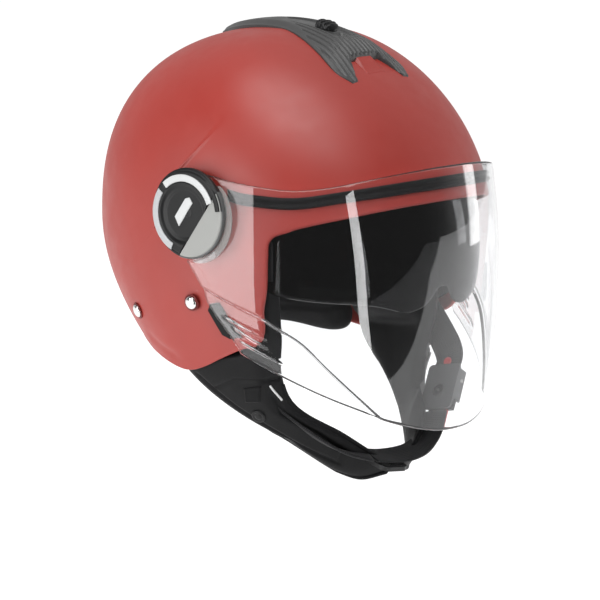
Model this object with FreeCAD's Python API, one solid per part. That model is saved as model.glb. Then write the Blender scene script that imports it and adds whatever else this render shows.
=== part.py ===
import FreeCAD, Part
import functools
import math
import os

# Open-face motorcycle helmet with a long clear visor, a drop-down sun visor and a ratchet buckle.
# Millimetres.  +X is the wearer's left, -Y the front, +Z up.  The origin lies in the middle plane
# at the height of the ear canals, in the middle of the headform.

V = FreeCAD.Vector
X_AXIS = V(1, 0, 0)

# ---- driving dimensions -------------------------------------------------------------------------
GIRTH_Z = 46.0              # height of the shell's widest section
CROWN_Z = 174.0             # top of the shell
BROW_Z = 51.5               # height below which the front of the shell stops growing
REAR_REACH = 136.0          # shell half lengths and half width at the girth
FRONT_REACH = 132.5
HALF_WIDTH = 122.6
CLOSING_Z = -50.0           # height below which the shell's form closes
PLAN_POWER = 2.15           # superellipse power of a level section
SHELL_WALL = 3.5
FOAM_GAP = 0.5              # between shell and foam
HEAD_WIDTH = 78.0           # half width, reach and height of the room for the head
HEAD_FRONT = 97.0
HEAD_REAR = 103.0
HEAD_TOP = 134.0
COMFORT_PAD = 8.0           # thickness of the crown padding

PIVOT_Y, PIVOT_Z = -14.0, 60.0      # axis of the clear visor
VISOR_WALL = 2.2
VISOR_WIDTH = 132.0                 # half width and reach of the visor at its fullest section
VISOR_REACH = 143.2
VISOR_MID_Z = 20.0
VISOR_CENTRE_Y = 3.0
VISOR_POWER = 2.06
COVER_R = 29.5                      # round cover over each visor pivot
BASE_OUT = -123.0                   # outer faces of the base plate and of its ring, on the right
RING_OUT = -124.7
SPIGOT_END = -122.2
SPIGOT_R = 6.0                      # the cover's spigot, turning in the base plate
SPIGOT_PLAY = 0.05

SUN_Y, SUN_Z = 10.0, 28.0           # axis that the sun visor and the top slider turn about
SUN_R = 137.0                       # outer radius of the sun visor in the middle plane
SUN_HALF = 110.0                    # where the sun visor's surface would meet its own axis
SUN_WALL = 2.0
SUN_POWER = 2.3
DECK_R = 151.5                      # outer radius of the top fairing about the same axis
DECK_CROWN = 96.0                   # sideways crown radius of the fairing
KNOB_ANGLE = 13.7                   # knob's lean to the front at rest, degrees from the vertical
SLOT_FRONT, SLOT_REAR = 18.6, -4.0  # ends of the slot, degrees to the front of the vertical

STRAP_WIDTH = 22.0
STRAP_THICK = 1.8
RIVET_R = 4.4
RIVET_SHANK = 2.4
RIVETS = [(-7.0, -1.3), (52.0, -14.0)]      # (y, z) of the strap rivets on each side
ANCHOR = [(-15.0, -9.0), (-15.0, 7.0), (2.0, 7.0), (60.0, -7.0), (60.0, -21.0), (52.0, -22.0)]
ANCHOR_ROOM = [(-17.0, -11.0), (-17.0, 9.0), (3.0, 9.0), (62.0, -5.0), (62.0, -24.0), (51.0, -25.0)]
SIDES = (("left", 1), ("right", -1))


# ---- the shell's form ---------------------------------------------------------------------------
def dome(t, power):
    """Radius of a unit dome at share t of its height."""
    return max(1.0 - min(t, 1.0) ** power, 0.0) ** (1.0 / power)


def section_sizes(z, grow):
    """Half width, front reach and rear reach of the shell's level section at z, grown outwards."""
    height = CROWN_Z + grow - GIRTH_Z
    below = max(GIRTH_Z - z, 0.0) / 100.0
    above = max(z - GIRTH_Z, 0.0) / height
    above_brow = max(z - BROW_Z, 0.0) / (CROWN_Z + grow - BROW_Z)
    # well below the rim the form closes to an egg, so that it is one solid
    close = dome(max(CLOSING_Z - z, 0.0) / (60.0 + grow), 2.2)
    width = (HALF_WIDTH + grow) * dome(above, 2.47) * (1.0 - 0.13 * below ** 2)
    rear = (REAR_REACH + grow) * dome(above, 2.39) * (1.0 - 0.48 * below ** 2)
    front = (FRONT_REACH + grow) * dome(above_brow, 1.64)
    return width * close, front * close, rear * close


def inside_shell_form(x, y, z, grow):
    """Whether a point lies inside the shell's form."""
    width, front, rear = section_sizes(z, grow)
    reach = rear if y > 0.0 else front
    if min(width, reach) <= 0.0:
        return False
    return (abs(x) / width) ** PLAN_POWER + (abs(y) / reach) ** PLAN_POWER < 1.0


def form_radius(x, angle, grow):
    """Distance from the girth's middle to the form's surface, in the plane at x."""
    low, high = 0.0, 300.0
    for _ in range(36):
        middle = 0.5 * (low + high)
        y = middle * math.cos(angle)
        z = GIRTH_Z + middle * math.sin(angle)
        if inside_shell_form(x, y, z, grow):
            low = middle
        else:
            high = middle
    return low


def oval(z, width, front, rear, power=PLAN_POWER, centre_y=0.0, count=32):
    """Closed smooth level wire: a superellipse whose front and rear halves differ in length."""
    points = []
    for i in range(count):
        angle = 2.0 * math.pi * i / count
        c, s = math.cos(angle), math.sin(angle)
        reach = rear if s > 0 else front
        x = width * math.copysign(abs(c) ** (2.0 / power), c)
        y = centre_y + reach * math.copysign(abs(s) ** (2.0 / power), s)
        points.append(V(x, y, z))
    curve = Part.BSplineCurve()
    curve.interpolate(Points=points, PeriodicFlag=True)
    return Part.Wire(curve.toShape())


@functools.lru_cache(maxsize=None)
def blob(grow):
    """Solid of the shell's outer form, grown or shrunk by an offset.

    It is lofted from side to side, so that its two flat ends lie under the visor's pivots."""
    count = 32
    shares = (0.22, 0.43, 0.6, 0.74, 0.85, 0.92, 0.966, 0.992)
    wires = []
    for share in [-s for s in reversed(shares)] + [0.0] + list(shares):
        x = share * (HALF_WIDTH + grow)
        points = []
        for i in range(count):
            angle = 2.0 * math.pi * (i + 0.5) / count - 0.5 * math.pi
            radius = form_radius(x, angle, grow)
            points.append(V(x, radius * math.cos(angle), GIRTH_Z + radius * math.sin(angle)))
        curve = Part.BSplineCurve()
        curve.interpolate(Points=points, PeriodicFlag=True)
        wires.append(Part.Wire(curve.toShape()))
    return Part.makeLoft(wires, True, False)


# ---- drawing helpers ----------------------------------------------------------------------------
def outline_wire(runs, place):
    """Closed wire from runs of 2D points; a run of two is a line, a longer one a smooth curve."""
    edges = []
    for run in runs:
        points = [place(a, b) for a, b in run]
        if len(points) == 2:
            edges.append(Part.makeLine(points[0], points[1]))
        else:
            curve = Part.BSplineCurve()
            curve.interpolate(points)
            edges.append(curve.toShape())
    return Part.Wire(edges)


def side_prism(runs, x_low=-200.0, x_high=200.0):
    """Outline in the side view (y, z), extruded from x_low to x_high."""
    wire = outline_wire(runs, lambda y, z: V(x_low, y, z))
    return Part.Face(wire).extrude(V(x_high - x_low, 0, 0))


def front_prism(runs, y_low=-200.0, y_high=0.0):
    """Outline in the front view (x, z), extruded from y_low to y_high."""
    wire = outline_wire(runs, lambda x, z: V(x, y_low, z))
    return Part.Face(wire).extrude(V(0, y_high - y_low, 0))


def plan_prism(runs, z_low=100.0, z_high=220.0):
    """Outline in the plan view (x, y), extruded from z_low to z_high."""
    wire = outline_wire(runs, lambda x, y: V(x, y, z_low))
    return Part.Face(wire).extrude(V(0, 0, z_high - z_low))


def closed(points):
    """Runs of straight lines round a polygon."""
    return [[points[i], points[(i + 1) % len(points)]] for i in range(len(points))]


def mirrored(shape):
    """The shape on the other side of the middle plane."""
    return shape.mirror(V(0, 0, 0), X_AXIS)


def x_cylinder(radius, x_low, x_high, y, z):
    """Cylinder along X."""
    return Part.makeCylinder(radius, x_high - x_low, V(x_low, y, z), X_AXIS)


def box(x_low, x_high, y_low, y_high, z_low, z_high):
    """Box between two corners."""
    return Part.makeBox(x_high - x_low, y_high - y_low, z_high - z_low, V(x_low, y_low, z_low))


def spun(points, start, sweep, axis_y=SUN_Y, axis_z=SUN_Z):
    """Solid swept by a profile of (x, r) points about a lateral axis.

    start is the angle above the horizontal, seen to the front, where the sweep begins."""
    runs = closed(points) if isinstance(points[0], tuple) else points
    wire = outline_wire(runs, lambda x, r: V(x, axis_y - r, axis_z))
    solid = Part.Face(wire).revolve(V(0, axis_y, axis_z), V(-1, 0, 0), sweep)
    solid.rotate(V(0, axis_y, axis_z), V(-1, 0, 0), start)
    return solid


def leaned(shape, angle):
    """A shape made at the top of the sun visor's axis, leaned to the front by an angle."""
    turned = shape.copy()
    turned.rotate(V(0, SUN_Y, SUN_Z), X_AXIS, angle)
    return turned


def ribbon(stations, width, thick):
    """Flat webbing through stations of (centre, direction across its width, face normal)."""
    wires = []
    for centre, across, normal in stations:
        a = V(*across).normalize() * (width / 2.0)
        n = V(*normal).normalize() * (thick / 2.0)
        c = V(*centre)
        wires.append(Part.makePolygon([c - a - n, c + a - n, c + a + n, c - a + n, c - a - n]))
    return Part.makeLoft(wires, True, True)


def one_solid(shape):
    """The largest solid of a shape, so that no sliver stays with it."""
    return max(shape.Solids, key=lambda s: s.Volume)


PARTS = {}


def keep(name, shape):
    """Keeps a finished piece under its node's name."""
    PARTS[name] = shape


def keep_pair(name, right_shape):
    """Keeps a shape made on the wearer's right, and its mirror image."""
    keep(name + "_right", right_shape)
    keep(name + "_left", mirrored(right_shape))


# ---- side-view outlines -------------------------------------------------------------------------
FACE_BACK = [(-57.9, -3.9), (-61.0, 12.0), (-62.4, 32.0)]
FACE_CORNER = [(-62.4, 32.0), (-62.8, 40.5), (-65.6, 46.4), (-73.0, 50.5)]
FACE_BROW = [(-73.0, 50.5), (-82.0, 54.0), (-106.0, 60.7), (-121.0, 64.9), (-150.0, 72.0)]
FACE_OPENING = [
    [(-57.9, -90.0), (-57.9, -3.9)], FACE_BACK, FACE_CORNER, FACE_BROW,
    [(-150.0, 72.0), (-190.0, 72.0)], [(-190.0, 72.0), (-190.0, -90.0)],
    [(-190.0, -90.0), (-57.9, -90.0)],
]
RIM = [(-70.0, -18.5), (-57.8, -22.6), (-38.5, -31.4), (-9.0, -44.6), (4.3, -48.4),
       (17.4, -47.4), (44.6, -40.6), (59.5, -35.4), (80.0, -30.0), (110.0, -26.5), (160.0, -25.0)]
BELOW_RIM = [RIM, [(160.0, -25.0), (160.0, -120.0)], [(160.0, -120.0), (-70.0, -120.0)],
             [(-70.0, -120.0), (-70.0, -18.5)]]


def lifted_rim(lift):
    """The region below the rim, with its upper edge lifted into the helmet."""
    rim = [(y, z + lift) for y, z in RIM]
    return [rim, [rim[-1], (160.0, -160.0)], [(160.0, -160.0), (-70.0, -160.0)],
            [(-70.0, -160.0), rim[0]]]


# ---- shell and what is fixed to its outside ------------------------------------------------------
def knob_slot(half_width, r_low, r_high, extra=0.0):
    """Slot along the slider's arc, between its front and rear ends."""
    start = 90.0 - SLOT_FRONT - extra
    sweep = SLOT_FRONT - SLOT_REAR + 2.0 * extra
    return spun([(-half_width, r_low), (half_width, r_low), (half_width, r_high),
                 (-half_width, r_high)], start, sweep)


def make_shell(outer):
    shell = outer.cut(blob(-SHELL_WALL))
    shell = shell.cut(side_prism(FACE_OPENING))
    shell = shell.cut(side_prism(BELOW_RIM))
    shell = shell.cut(knob_slot(3.2, 120.0, 160.0))
    for y, z in RIVETS:
        shell = shell.cut(x_cylinder(RIVET_SHANK + 0.1, -150.0, 150.0, y, z))
    return one_solid(shell)


def make_brow_seal(outer):
    band = blob(2.4).cut(outer)
    top = [(-46.0, 74.5), (-55.0, 73.6), (-80.0, 72.3), (-105.0, 76.6), (-124.0, 80.6), (-150.0, 86.0)]
    low = [(-150.0, 77.6), (-124.0, 72.3), (-105.0, 68.9), (-80.0, 64.6), (-55.0, 65.9), (-46.0, 66.8)]
    strip = [top, [top[-1], low[0]], low, [low[-1], top[0]]]
    return one_solid(band.common(side_prism(strip)))


def deck_profile(drop, half, r_low=125.0):
    """(x, r) profile under the fairing's crowned top, lowered by drop."""
    top = []
    steps = 8
    for i in range(steps + 1):
        x = -half + 2.0 * half * i / steps
        top.append((x, DECK_R - drop - x * x / (2.0 * DECK_CROWN)))
    return [top, [(half, top[-1][1]), (half, r_low)], [(half, r_low), (-half, r_low)],
            [(-half, r_low), (-half, top[0][1])]]


FAIRING_EDGE = [(30.0, -72.5), (35.0, -61.0), (30.5, -42.0), (24.5, -22.0), (19.5, -5.0),
                (17.0, 17.0), (13.0, 41.0), (4.0, 62.5)]
GAP_EDGE = [(-25.0, -73.5), (-19.5, -64.0), (-15.6, -57.5), (0.0, -55.5), (15.6, -57.5),
            (19.5, -64.0), (25.0, -73.5)]


def fairing_plan():
    """Plan outline: two prongs to the front, a waist and a narrow tail."""
    right = [(-x, y) for x, y in FAIRING_EDGE]
    return [FAIRING_EDGE, [FAIRING_EDGE[-1], right[-1]], list(reversed(right)),
            [right[0], GAP_EDGE[0]], GAP_EDGE, [GAP_EDGE[-1], FAIRING_EDGE[0]]]


def make_fairing(outer):
    deck = spun(deck_profile(0.0, 40.0), 40.0, 85.0)
    fairing = deck.common(plan_prism(fairing_plan())).cut(outer)
    # the air channel behind the gap between the prongs
    channel = spun(deck_profile(2.4, 14.5), 48.0, 28.0)
    fairing = fairing.cut(channel)
    # the scoop round the knob and the slot it runs in
    scoop = spun([(-9.5, DECK_R - 2.2), (9.5, DECK_R - 2.2), (9.5, 160.0), (-9.5, 160.0)],
                 90.0 - SLOT_FRONT - 3.2, SLOT_FRONT - SLOT_REAR + 6.4)
    fairing = fairing.cut(scoop).cut(knob_slot(3.2, 120.0, 160.0))
    # ribbed top: grooves beside and in front of the scoop
    for x in (-23.5, -19.5, -15.5, -11.5, 11.5, 15.5, 19.5, 23.5):
        floor = DECK_R - x * x / (2.0 * DECK_CROWN) - 1.0
        groove = spun([(x - 0.7, floor), (x + 0.7, floor), (x + 0.7, 160.0), (x - 0.7, 160.0)],
                      40.0, 46.0)
        fairing = fairing.cut(groove)
    return one_solid(fairing)


def make_intake_grille(outer):
    """Slatted dark insert deep inside the fairing's air channel."""
    block = spun(deck_profile(2.9, 14.0), 68.5, 2.4).cut(outer)
    for x in (-10.5, -6.3, -2.1, 2.1, 6.3, 10.5):
        block = block.cut(box(x - 1.3, x + 1.3, -80.0, 0.0, 157.6, 159.6))
    return one_solid(block)


def make_pivot_base(outer):
    """Plate on the shell's right side, with the bore for the cover's spigot."""
    plate = x_cylinder(24.0, BASE_OUT, -112.0, PIVOT_Y, PIVOT_Z).cut(outer)
    socket = x_cylinder(9.0, RING_OUT, BASE_OUT + 0.5, PIVOT_Y, PIVOT_Z)
    bore = x_cylinder(SPIGOT_R + SPIGOT_PLAY, -140.0, -100.0, PIVOT_Y, PIVOT_Z)
    return one_solid(plate.fuse(socket).cut(bore).removeSplitter())


def make_ratchet_ring():
    """Detent ring on the base plate, with a notch for each stop of the visor."""
    ring = x_cylinder(15.0, RING_OUT, BASE_OUT, PIVOT_Y, PIVOT_Z)
    ring = ring.cut(x_cylinder(10.0, -140.0, -100.0, PIVOT_Y, PIVOT_Z))
    for i in range(5):
        angle = math.radians(200.0 + 16.0 * i)
        y = PIVOT_Y + 15.4 * math.cos(angle)
        z = PIVOT_Z + 15.4 * math.sin(angle)
        ring = ring.cut(x_cylinder(1.2, -140.0, -100.0, y, z))
    return one_solid(ring)


def make_visor_stop(outer):
    """Rubber stop on the shell that the closed visor's rear edge rests on."""
    pad = [(-26.3, 0.4), (-23.4, -4.6), (-32.2, -20.6), (-37.6, -23.0), (-44.6, -21.6), (-30.5, 1.0)]
    stop = blob(4.4).cut(outer)
    return one_solid(stop.common(side_prism(closed(pad), -200.0, 0.0)))


# ---- clear visor -------------------------------------------------------------------------------
def visor_sizes(z, grow):
    """Half width and reach of the visor's level section at z."""
    u = (z - VISOR_MID_Z) / 100.0
    width = VISOR_WIDTH - (16.0 if u < 0 else 8.5) * u * u
    reach = VISOR_REACH - (3.4 if u < 0 else 14.5) * u * u
    return width + grow, reach + grow


def visor_body(grow):
    """Solid bounded by the visor's smooth surface."""
    wires = []
    for z in (-96.0, -70.0, -45.0, -20.0, 5.0, 30.0, 55.0, 80.0, 98.0):
        width, reach = visor_sizes(z, grow)
        wires.append(oval(z, width, reach, reach, VISOR_POWER, VISOR_CENTRE_Y))
    return Part.makeLoft(wires, True, False)


VISOR_TOP = [(-30.0, 84.3), (-49.2, 80.4), (-77.6, 76.6), (-94.8, 77.5), (-108.5, 80.4), (-131.0, 87.2),
             (-160.0, 95.0)]
VISOR_LOW = [(-160.0, -103.0), (-136.5, -87.0), (-132.8, -84.2), (-118.0, -73.2), (-107.0, -65.6),
             (-72.7, -44.8), (-49.7, -31.3)]
VISOR_REAR = [(-49.7, -31.3), (-44.2, -20.8), (-29.0, 0.9), (-25.2, 12.7), (-12.7, 30.9)]
VISOR_EAR = [(-12.7, 30.9), (1.0, 43.0), (7.0, 58.0), (2.0, 74.0), (-12.0, 83.5), (-30.0, 84.3)]
CHORD = ((-28.3, 65.7), (-8.4, 35.4))       # two points on the straight edge of the round cover


def chord_side(y_shift):
    """Half plane in front of the cover's straight edge, moved to the rear by y_shift."""
    (ya, za), (yb, zb) = CHORD
    length = math.hypot(yb - ya, zb - za)
    dy, dz = (yb - ya) / length, (zb - za) / length
    a = (ya - 70.0 * dy + y_shift, za - 70.0 * dz)
    b = (yb + 70.0 * dy + y_shift, zb + 70.0 * dz)
    front = (dz * 80.0, -dy * 80.0)
    return closed([a, b, (b[0] + front[0], b[1] + front[1]), (a[0] + front[0], a[1] + front[1])])


def make_visor():
    hollow = visor_body(-VISOR_WALL)
    bubble = visor_body(0.0).cut(hollow)
    outline = [VISOR_TOP, [VISOR_TOP[-1], VISOR_LOW[0]], VISOR_LOW, VISOR_REAR, VISOR_EAR]
    visor = one_solid(bubble.common(side_prism(outline)))
    for sign in (-1, 1):
        low, high = sorted((sign * 120.0, sign * 132.4))
        window = x_cylinder(COVER_R - 1.6, low, high, PIVOT_Y, PIVOT_Z)
        window = window.common(side_prism(chord_side(-0.4))).cut(hollow)
        visor = visor.fuse(window)
    visor = visor.cut(x_cylinder(SPIGOT_R + 2.2, -150.0, 150.0, PIVOT_Y, PIVOT_Z))
    return one_solid(visor)


COVER_IN, COVER_OUT = -132.2, -135.4        # the cover's inner and outer faces on the right


def make_cover():
    """Round cover outside the visor's ear; its spigot is the visor's axle."""
    cover = x_cylinder(COVER_R, COVER_OUT, COVER_IN, PIVOT_Y, PIVOT_Z)
    edges = [e for e in cover.Edges if abs(e.CenterOfMass.x - COVER_OUT) < 0.01]
    cover = cover.makeChamfer(1.1, edges)
    dish = x_cylinder(18.0, COVER_OUT - 1.0, COVER_OUT + 1.4, PIVOT_Y, PIVOT_Z)
    cover = cover.cut(dish)
    cover = cover.cut(side_prism(chord_side(0.0), -200.0, 0.0))
    # the boss that seats on the visor's ear, and the spigot in the base plate
    boss = x_cylinder(14.0, COVER_IN - 1.0, -120.0, PIVOT_Y, PIVOT_Z).cut(visor_body(0.05))
    boss = boss.cut(side_prism(chord_side(0.0), -200.0, 0.0))
    spigot = x_cylinder(SPIGOT_R, COVER_IN - 1.0, SPIGOT_END, PIVOT_Y, PIVOT_Z)
    cover = cover.fuse(boss).fuse(spigot)
    cover = cover.cut(x_cylinder(2.1, -140.0, -105.0, PIVOT_Y, PIVOT_Z))
    return one_solid(cover.cut(trim_ring(0.0)).removeSplitter())


def trim_ring(play):
    """The pale band let into the cover's face, in two arcs."""
    ring = x_cylinder(24.6 - play, COVER_OUT - 0.4, COVER_OUT + 0.9, PIVOT_Y, PIVOT_Z)
    ring = ring.cut(x_cylinder(20.2 + play, -140.0, -130.0, PIVOT_Y, PIVOT_Z))
    ring = ring.cut(side_prism(chord_side(3.0 + play), -200.0, 0.0))
    gap = box(-140.0, -130.0, 0.0, 40.0, -1.4 - play, 1.4 + play)
    gap.translate(V(0, PIVOT_Y, PIVOT_Z))
    gap.rotate(V(0, PIVOT_Y, PIVOT_Z), X_AXIS, 38.0)
    return ring.cut(gap)


def make_cover_mark():
    """Plain raised finger bar in the dish of the cover, tilted like the cover's straight edge."""
    bar = box(COVER_OUT + 0.3, COVER_OUT + 1.4, -2.0, 2.0, 5.5, 15.5)
    bar.translate(V(0, PIVOT_Y, PIVOT_Z))
    bar.rotate(V(0, PIVOT_Y, PIVOT_Z), X_AXIS, -35.0)
    return bar


def make_pivot_screw():
    """Screw that spreads the cover's spigot in the base plate's bore."""
    head = x_cylinder(4.0, COVER_OUT + 0.2, COVER_OUT + 1.4, PIVOT_Y, PIVOT_Z)
    shank = x_cylinder(2.0, COVER_OUT + 1.4, SPIGOT_END - 0.3, PIVOT_Y, PIVOT_Z)
    drive = box(COVER_OUT, COVER_OUT + 0.7, PIVOT_Y - 3.0, PIVOT_Y + 3.0, PIVOT_Z - 0.5, PIVOT_Z + 0.5)
    return head.fuse(shank).cut(drive).removeSplitter()


# ---- sun visor, slider and their drive ------------------------------------------------------------
def sun_radius(x, grow=0.0):
    """Radius of the sun visor's outer surface about its axis, at a distance x from the middle."""
    share = min(abs(x) / (SUN_HALF + grow), 1.0)
    return (SUN_R + grow) * max(1.0 - share ** SUN_POWER, 0.0) ** (1.0 / SUN_POWER)


def sun_profile(grow_out, grow_in, half):
    """(x, r) profile between two surfaces parallel to the sun visor."""
    steps = 12
    xs = [-half + 2.0 * half * i / steps for i in range(steps + 1)]
    top = [(x, sun_radius(x, grow_out)) for x in xs]
    low = [(x, sun_radius(x, grow_in)) for x in reversed(xs)]
    return [top, [top[-1], low[0]], low, [low[-1], top[0]]]


def make_sun_visor():
    lens = spun(sun_profile(0.0, -SUN_WALL, 99.6), -25.0, 60.0)
    low_right = [(-120.0, 14.0), (-97.0, 9.0), (-85.0, 4.2), (-56.0, 0.0), (-36.0, -5.6), (-28.0, -6.8)]
    nose_right = [(-28.0, -6.8), (-18.0, -4.2), (-8.0, 6.0), (0.0, 8.6)]
    nose_left = [(-x, z) for x, z in reversed(nose_right)]
    low_left = [(-x, z) for x, z in reversed(low_right)]
    below = [low_right, nose_right, nose_left, low_left, [(120.0, 14.0), (120.0, -80.0)],
             [(120.0, -80.0), (-120.0, -80.0)], [(-120.0, -80.0), (-120.0, 14.0)]]
    return one_solid(lens.cut(front_prism(below, -200.0, 40.0)))


def make_sun_arm():
    """Arm from the lens's right edge back to its pivot."""
    arm = closed([(SUN_Y + 4.0, SUN_Z - 9.0), (SUN_Y + 4.0, SUN_Z + 9.0), (-30.0, 42.0), (-54.0, 58.0),
                  (-62.0, 40.0), (-62.0, 16.0), (-40.0, 12.0)])
    plate = side_prism(arm, -102.4, -100.0)
    plate = plate.fuse(x_cylinder(9.0, -102.4, -100.0, SUN_Y, SUN_Z)).removeSplitter()
    return one_solid(plate.cut(x_cylinder(3.05, -110.0, -90.0, SUN_Y, SUN_Z)))


def make_sun_bracket():
    """Bracket inside the shell's right side, with the pin that the arm turns on."""
    block = box(-125.0, -103.0, SUN_Y - 8.0, SUN_Y + 12.0, SUN_Z - 10.0, SUN_Z + 10.0)
    block = one_solid(block.common(blob(-SHELL_WALL - 0.1)))
    return block.fuse(x_cylinder(3.0, -106.0, -98.5, SUN_Y, SUN_Z)).removeSplitter()


def make_knob():
    """Ribbed slider knob and its stem, standing on the fairing's deck."""
    base_r = DECK_R - 1.9
    knob = Part.makeCylinder(7.6, 5.6, V(0, SUN_Y, SUN_Z + base_r))
    top = [e for e in knob.Edges if abs(e.CenterOfMass.z - (SUN_Z + base_r + 5.6)) < 0.01]
    knob = knob.makeFillet(1.4, top)
    for y in (-4.4, -1.5, 1.4, 4.3):
        knob = knob.cut(box(-9.0, 9.0, SUN_Y + y - 0.6, SUN_Y + y + 0.6,
                            SUN_Z + base_r + 4.2, SUN_Z + base_r + 7.0))
    stem = Part.makeCylinder(2.7, base_r - 136.0, V(0, SUN_Y, SUN_Z + 136.0))
    return leaned(knob.fuse(stem).removeSplitter(), KNOB_ANGLE)


def make_carriage():
    """Plate under the shell that holds the knob's stem and the cable's end."""
    plate = spun([(-9.0, 136.4), (9.0, 136.4), (9.0, 139.0), (-9.0, 139.0)], 86.4, 7.2)
    plate = plate.cut(Part.makeCylinder(2.75, 40.0, V(0, SUN_Y, SUN_Z + 120.0)))
    return leaned(one_solid(plate), KNOB_ANGLE)


# ---- foam and padding ---------------------------------------------------------------------------
def anchor_room(low, high):
    """Space round the strap's anchor plate, from x low to x high."""
    return side_prism(closed(ANCHOR_ROOM), low, high)


@functools.lru_cache(maxsize=None)
def head_room(grow, z_low=-80.0):
    """Rounded solid for the head, open-ended downwards."""
    top = HEAD_TOP + grow
    wires = []
    for z in (z_low, -30.0, 10.0):
        wires.append(oval(z, HEAD_WIDTH + grow, HEAD_FRONT + grow, HEAD_REAR + grow, 2.2))
    for share in (0.2, 0.4, 0.6, 0.76, 0.88, 0.96, 0.995):
        z = 10.0 + (top - 10.0) * share
        k = dome(share, 2.3)
        wires.append(oval(z, (HEAD_WIDTH + grow) * k, (HEAD_FRONT + grow) * k, (HEAD_REAR + grow) * k, 2.2))
    return Part.makeLoft(wires, True, False)


def make_foam():
    foam = blob(-SHELL_WALL - FOAM_GAP).cut(head_room(COMFORT_PAD + 0.4))
    # pocket for the sun visor, open towards the shell
    foam = foam.cut(spun(sun_profile(40.0, -SUN_WALL - 2.0, 108.0), -45.0, 124.0))
    # room for the arms and their brackets
    for sign in (-1, 1):
        low, high = sorted((sign * 97.5, sign * 125.0))
        foam = foam.cut(box(low, high, -75.0, 26.0, -25.0, 66.0))
        low, high = sorted((sign * 98.9, sign * 103.6))
        foam = foam.cut(box(low, high, -75.0, 26.0, 60.0, 92.0))
    # track of the carriage and of the cable behind it
    foam = foam.cut(spun([(-11.0, 134.4), (11.0, 134.4), (11.0, 150.0), (-11.0, 150.0)], 60.0, 52.0))
    opening = [(-60.0, -90.0), (-66.0, 30.0), (-76.0, 52.0), (-110.0, 66.0), (-190.0, 84.0), (-190.0, -90.0)]
    foam = foam.cut(side_prism(closed(opening)))
    # the cheeks and the neck are cut out for the pads
    below = [(-90.0, 24.0), (40.0, 24.0), (62.0, -16.0), (160.0, -16.0), (160.0, -120.0), (-90.0, -120.0)]
    foam = foam.cut(side_prism(closed(below)))
    foam = foam.cut(anchor_room(-130.0, -91.0)).cut(anchor_room(91.0, 130.0))
    return one_solid(foam)


def make_comfort_liner():
    liner = head_room(COMFORT_PAD).common(blob(-SHELL_WALL - 4.5)).cut(head_room(0.0))
    below = [(-120.0, 70.0), (-60.0, 70.0), (-40.0, 26.0), (42.0, 26.0), (64.0, -14.0), (160.0, -14.0),
             (160.0, -120.0), (-120.0, -120.0)]
    return one_solid(liner.cut(side_prism(closed(below))))


SOFT_LEVELS = [                # z, then half width, front and rear reach of the padding's outside
    (30.0, 112.0, 112.0, 120.0), (0.0, 109.5, 112.0, 116.0), (-25.0, 106.0, 111.0, 106.0),
    (-47.0, 104.0, 107.0, 100.0), (-75.0, 92.0, 100.0, 92.0), (-100.0, 78.0, 94.0, 84.0),
    (-128.0, 63.0, 86.0, 76.0)]


@functools.lru_cache(maxsize=None)
def soft_body(shrink):
    """Solid inside the padding's outside surface, shrunk by a thickness."""
    wires = [oval(z, w - shrink, f - shrink, r - shrink, 2.2, 4.0) for z, w, f, r in SOFT_LEVELS]
    return Part.makeLoft(wires, True, False)


CHEEK_OUTLINE = [
    [(-54.0, 22.0), (16.0, 22.0)],
    [(16.0, 22.0), (22.0, -20.0), (17.0, -49.0)],
    [(17.0, -49.0), (-13.6, -76.5), (-41.8, -97.2), (-66.0, -119.0)],
    [(-66.0, -119.0), (-75.0, -124.0), (-82.5, -121.5)],
    [(-82.5, -121.5), (-84.0, -112.0), (-75.6, -92.0), (-57.0, -72.0), (-53.5, -50.0), (-56.5, -22.0),
     (-54.0, 22.0)],
]
STRAP_STATIONS = [              # right half of the chin strap: centre, across, normal
    ((-112.5, -7.0, 2.0), (0.0, 1.0, 0.0), (1.0, 0.0, 0.1)),
    ((-110.5, -8.0, -12.0), (0.0, 1.0, 0.0), (1.0, 0.0, 0.1)),
    ((-100.0, -14.0, -36.0), (0.1, 1.0, -0.2), (1.0, 0.0, 0.45)),
    ((-84.0, -30.0, -66.0), (0.2, 1.0, -0.35), (1.0, 0.0, 0.6)),
    ((-66.0, -52.0, -88.0), (0.35, 1.0, -0.3), (0.8, 0.0, 0.9)),
    ((-46.0, -72.0, -102.5), (0.3, 1.0, 0.1), (0.5, 0.0, 1.0)),
    ((-26.0, -84.0, -108.5), (0.1, 1.0, 0.3), (0.25, -0.2, 1.0)),
]


def cheek_form(room):
    """Right cheek pad with the flap that wraps the jaw below the shell, before the strap's slot."""
    pad = soft_body(0.0).cut(soft_body(17.0)).common(side_prism(CHEEK_OUTLINE, -200.0, -18.0))
    pad = pad.common(side_prism(lifted_rim(60.0), -200.0, 0.0))
    pad = pad.cut(side_prism(core_outline(1.0), -130.0, -96.5)).cut(room)
    # the sun visor's edge and arm pass outside the pad's top
    return pad.cut(box(-130.0, -95.5, -90.0, 30.0, -14.0, 60.0))


def strap_room(stations):
    """Space that a strap needs in the padding it passes through."""
    return ribbon(stations, STRAP_WIDTH + 2.0, STRAP_THICK + 1.6)


def make_cheek_pads(room):
    """Right and left cheek pads; the left one also leaves room for the buckle."""
    form = cheek_form(room)
    left = mirrored(form).cut(strap_room(LEFT_STATIONS)).cut(strap_room(CHIN_STATIONS))
    left = left.cut(framed(box(-36.0, 20.0, -15.0, 15.0, -6.0, 14.0), *BUCKLE_AT))
    return one_solid(form.cut(strap_room(STRAP_STATIONS))), one_solid(left)


def core_outline(grow):
    """Side view of the foam core behind the cheek pad."""
    return closed([(-52.0 - grow, -16.0 - grow), (-50.0 - grow, 16.0 + grow), (14.0 + grow, 16.0 + grow),
                   (18.0 + grow, -36.0 - grow), (-8.0, -38.0 - grow)])


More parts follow.
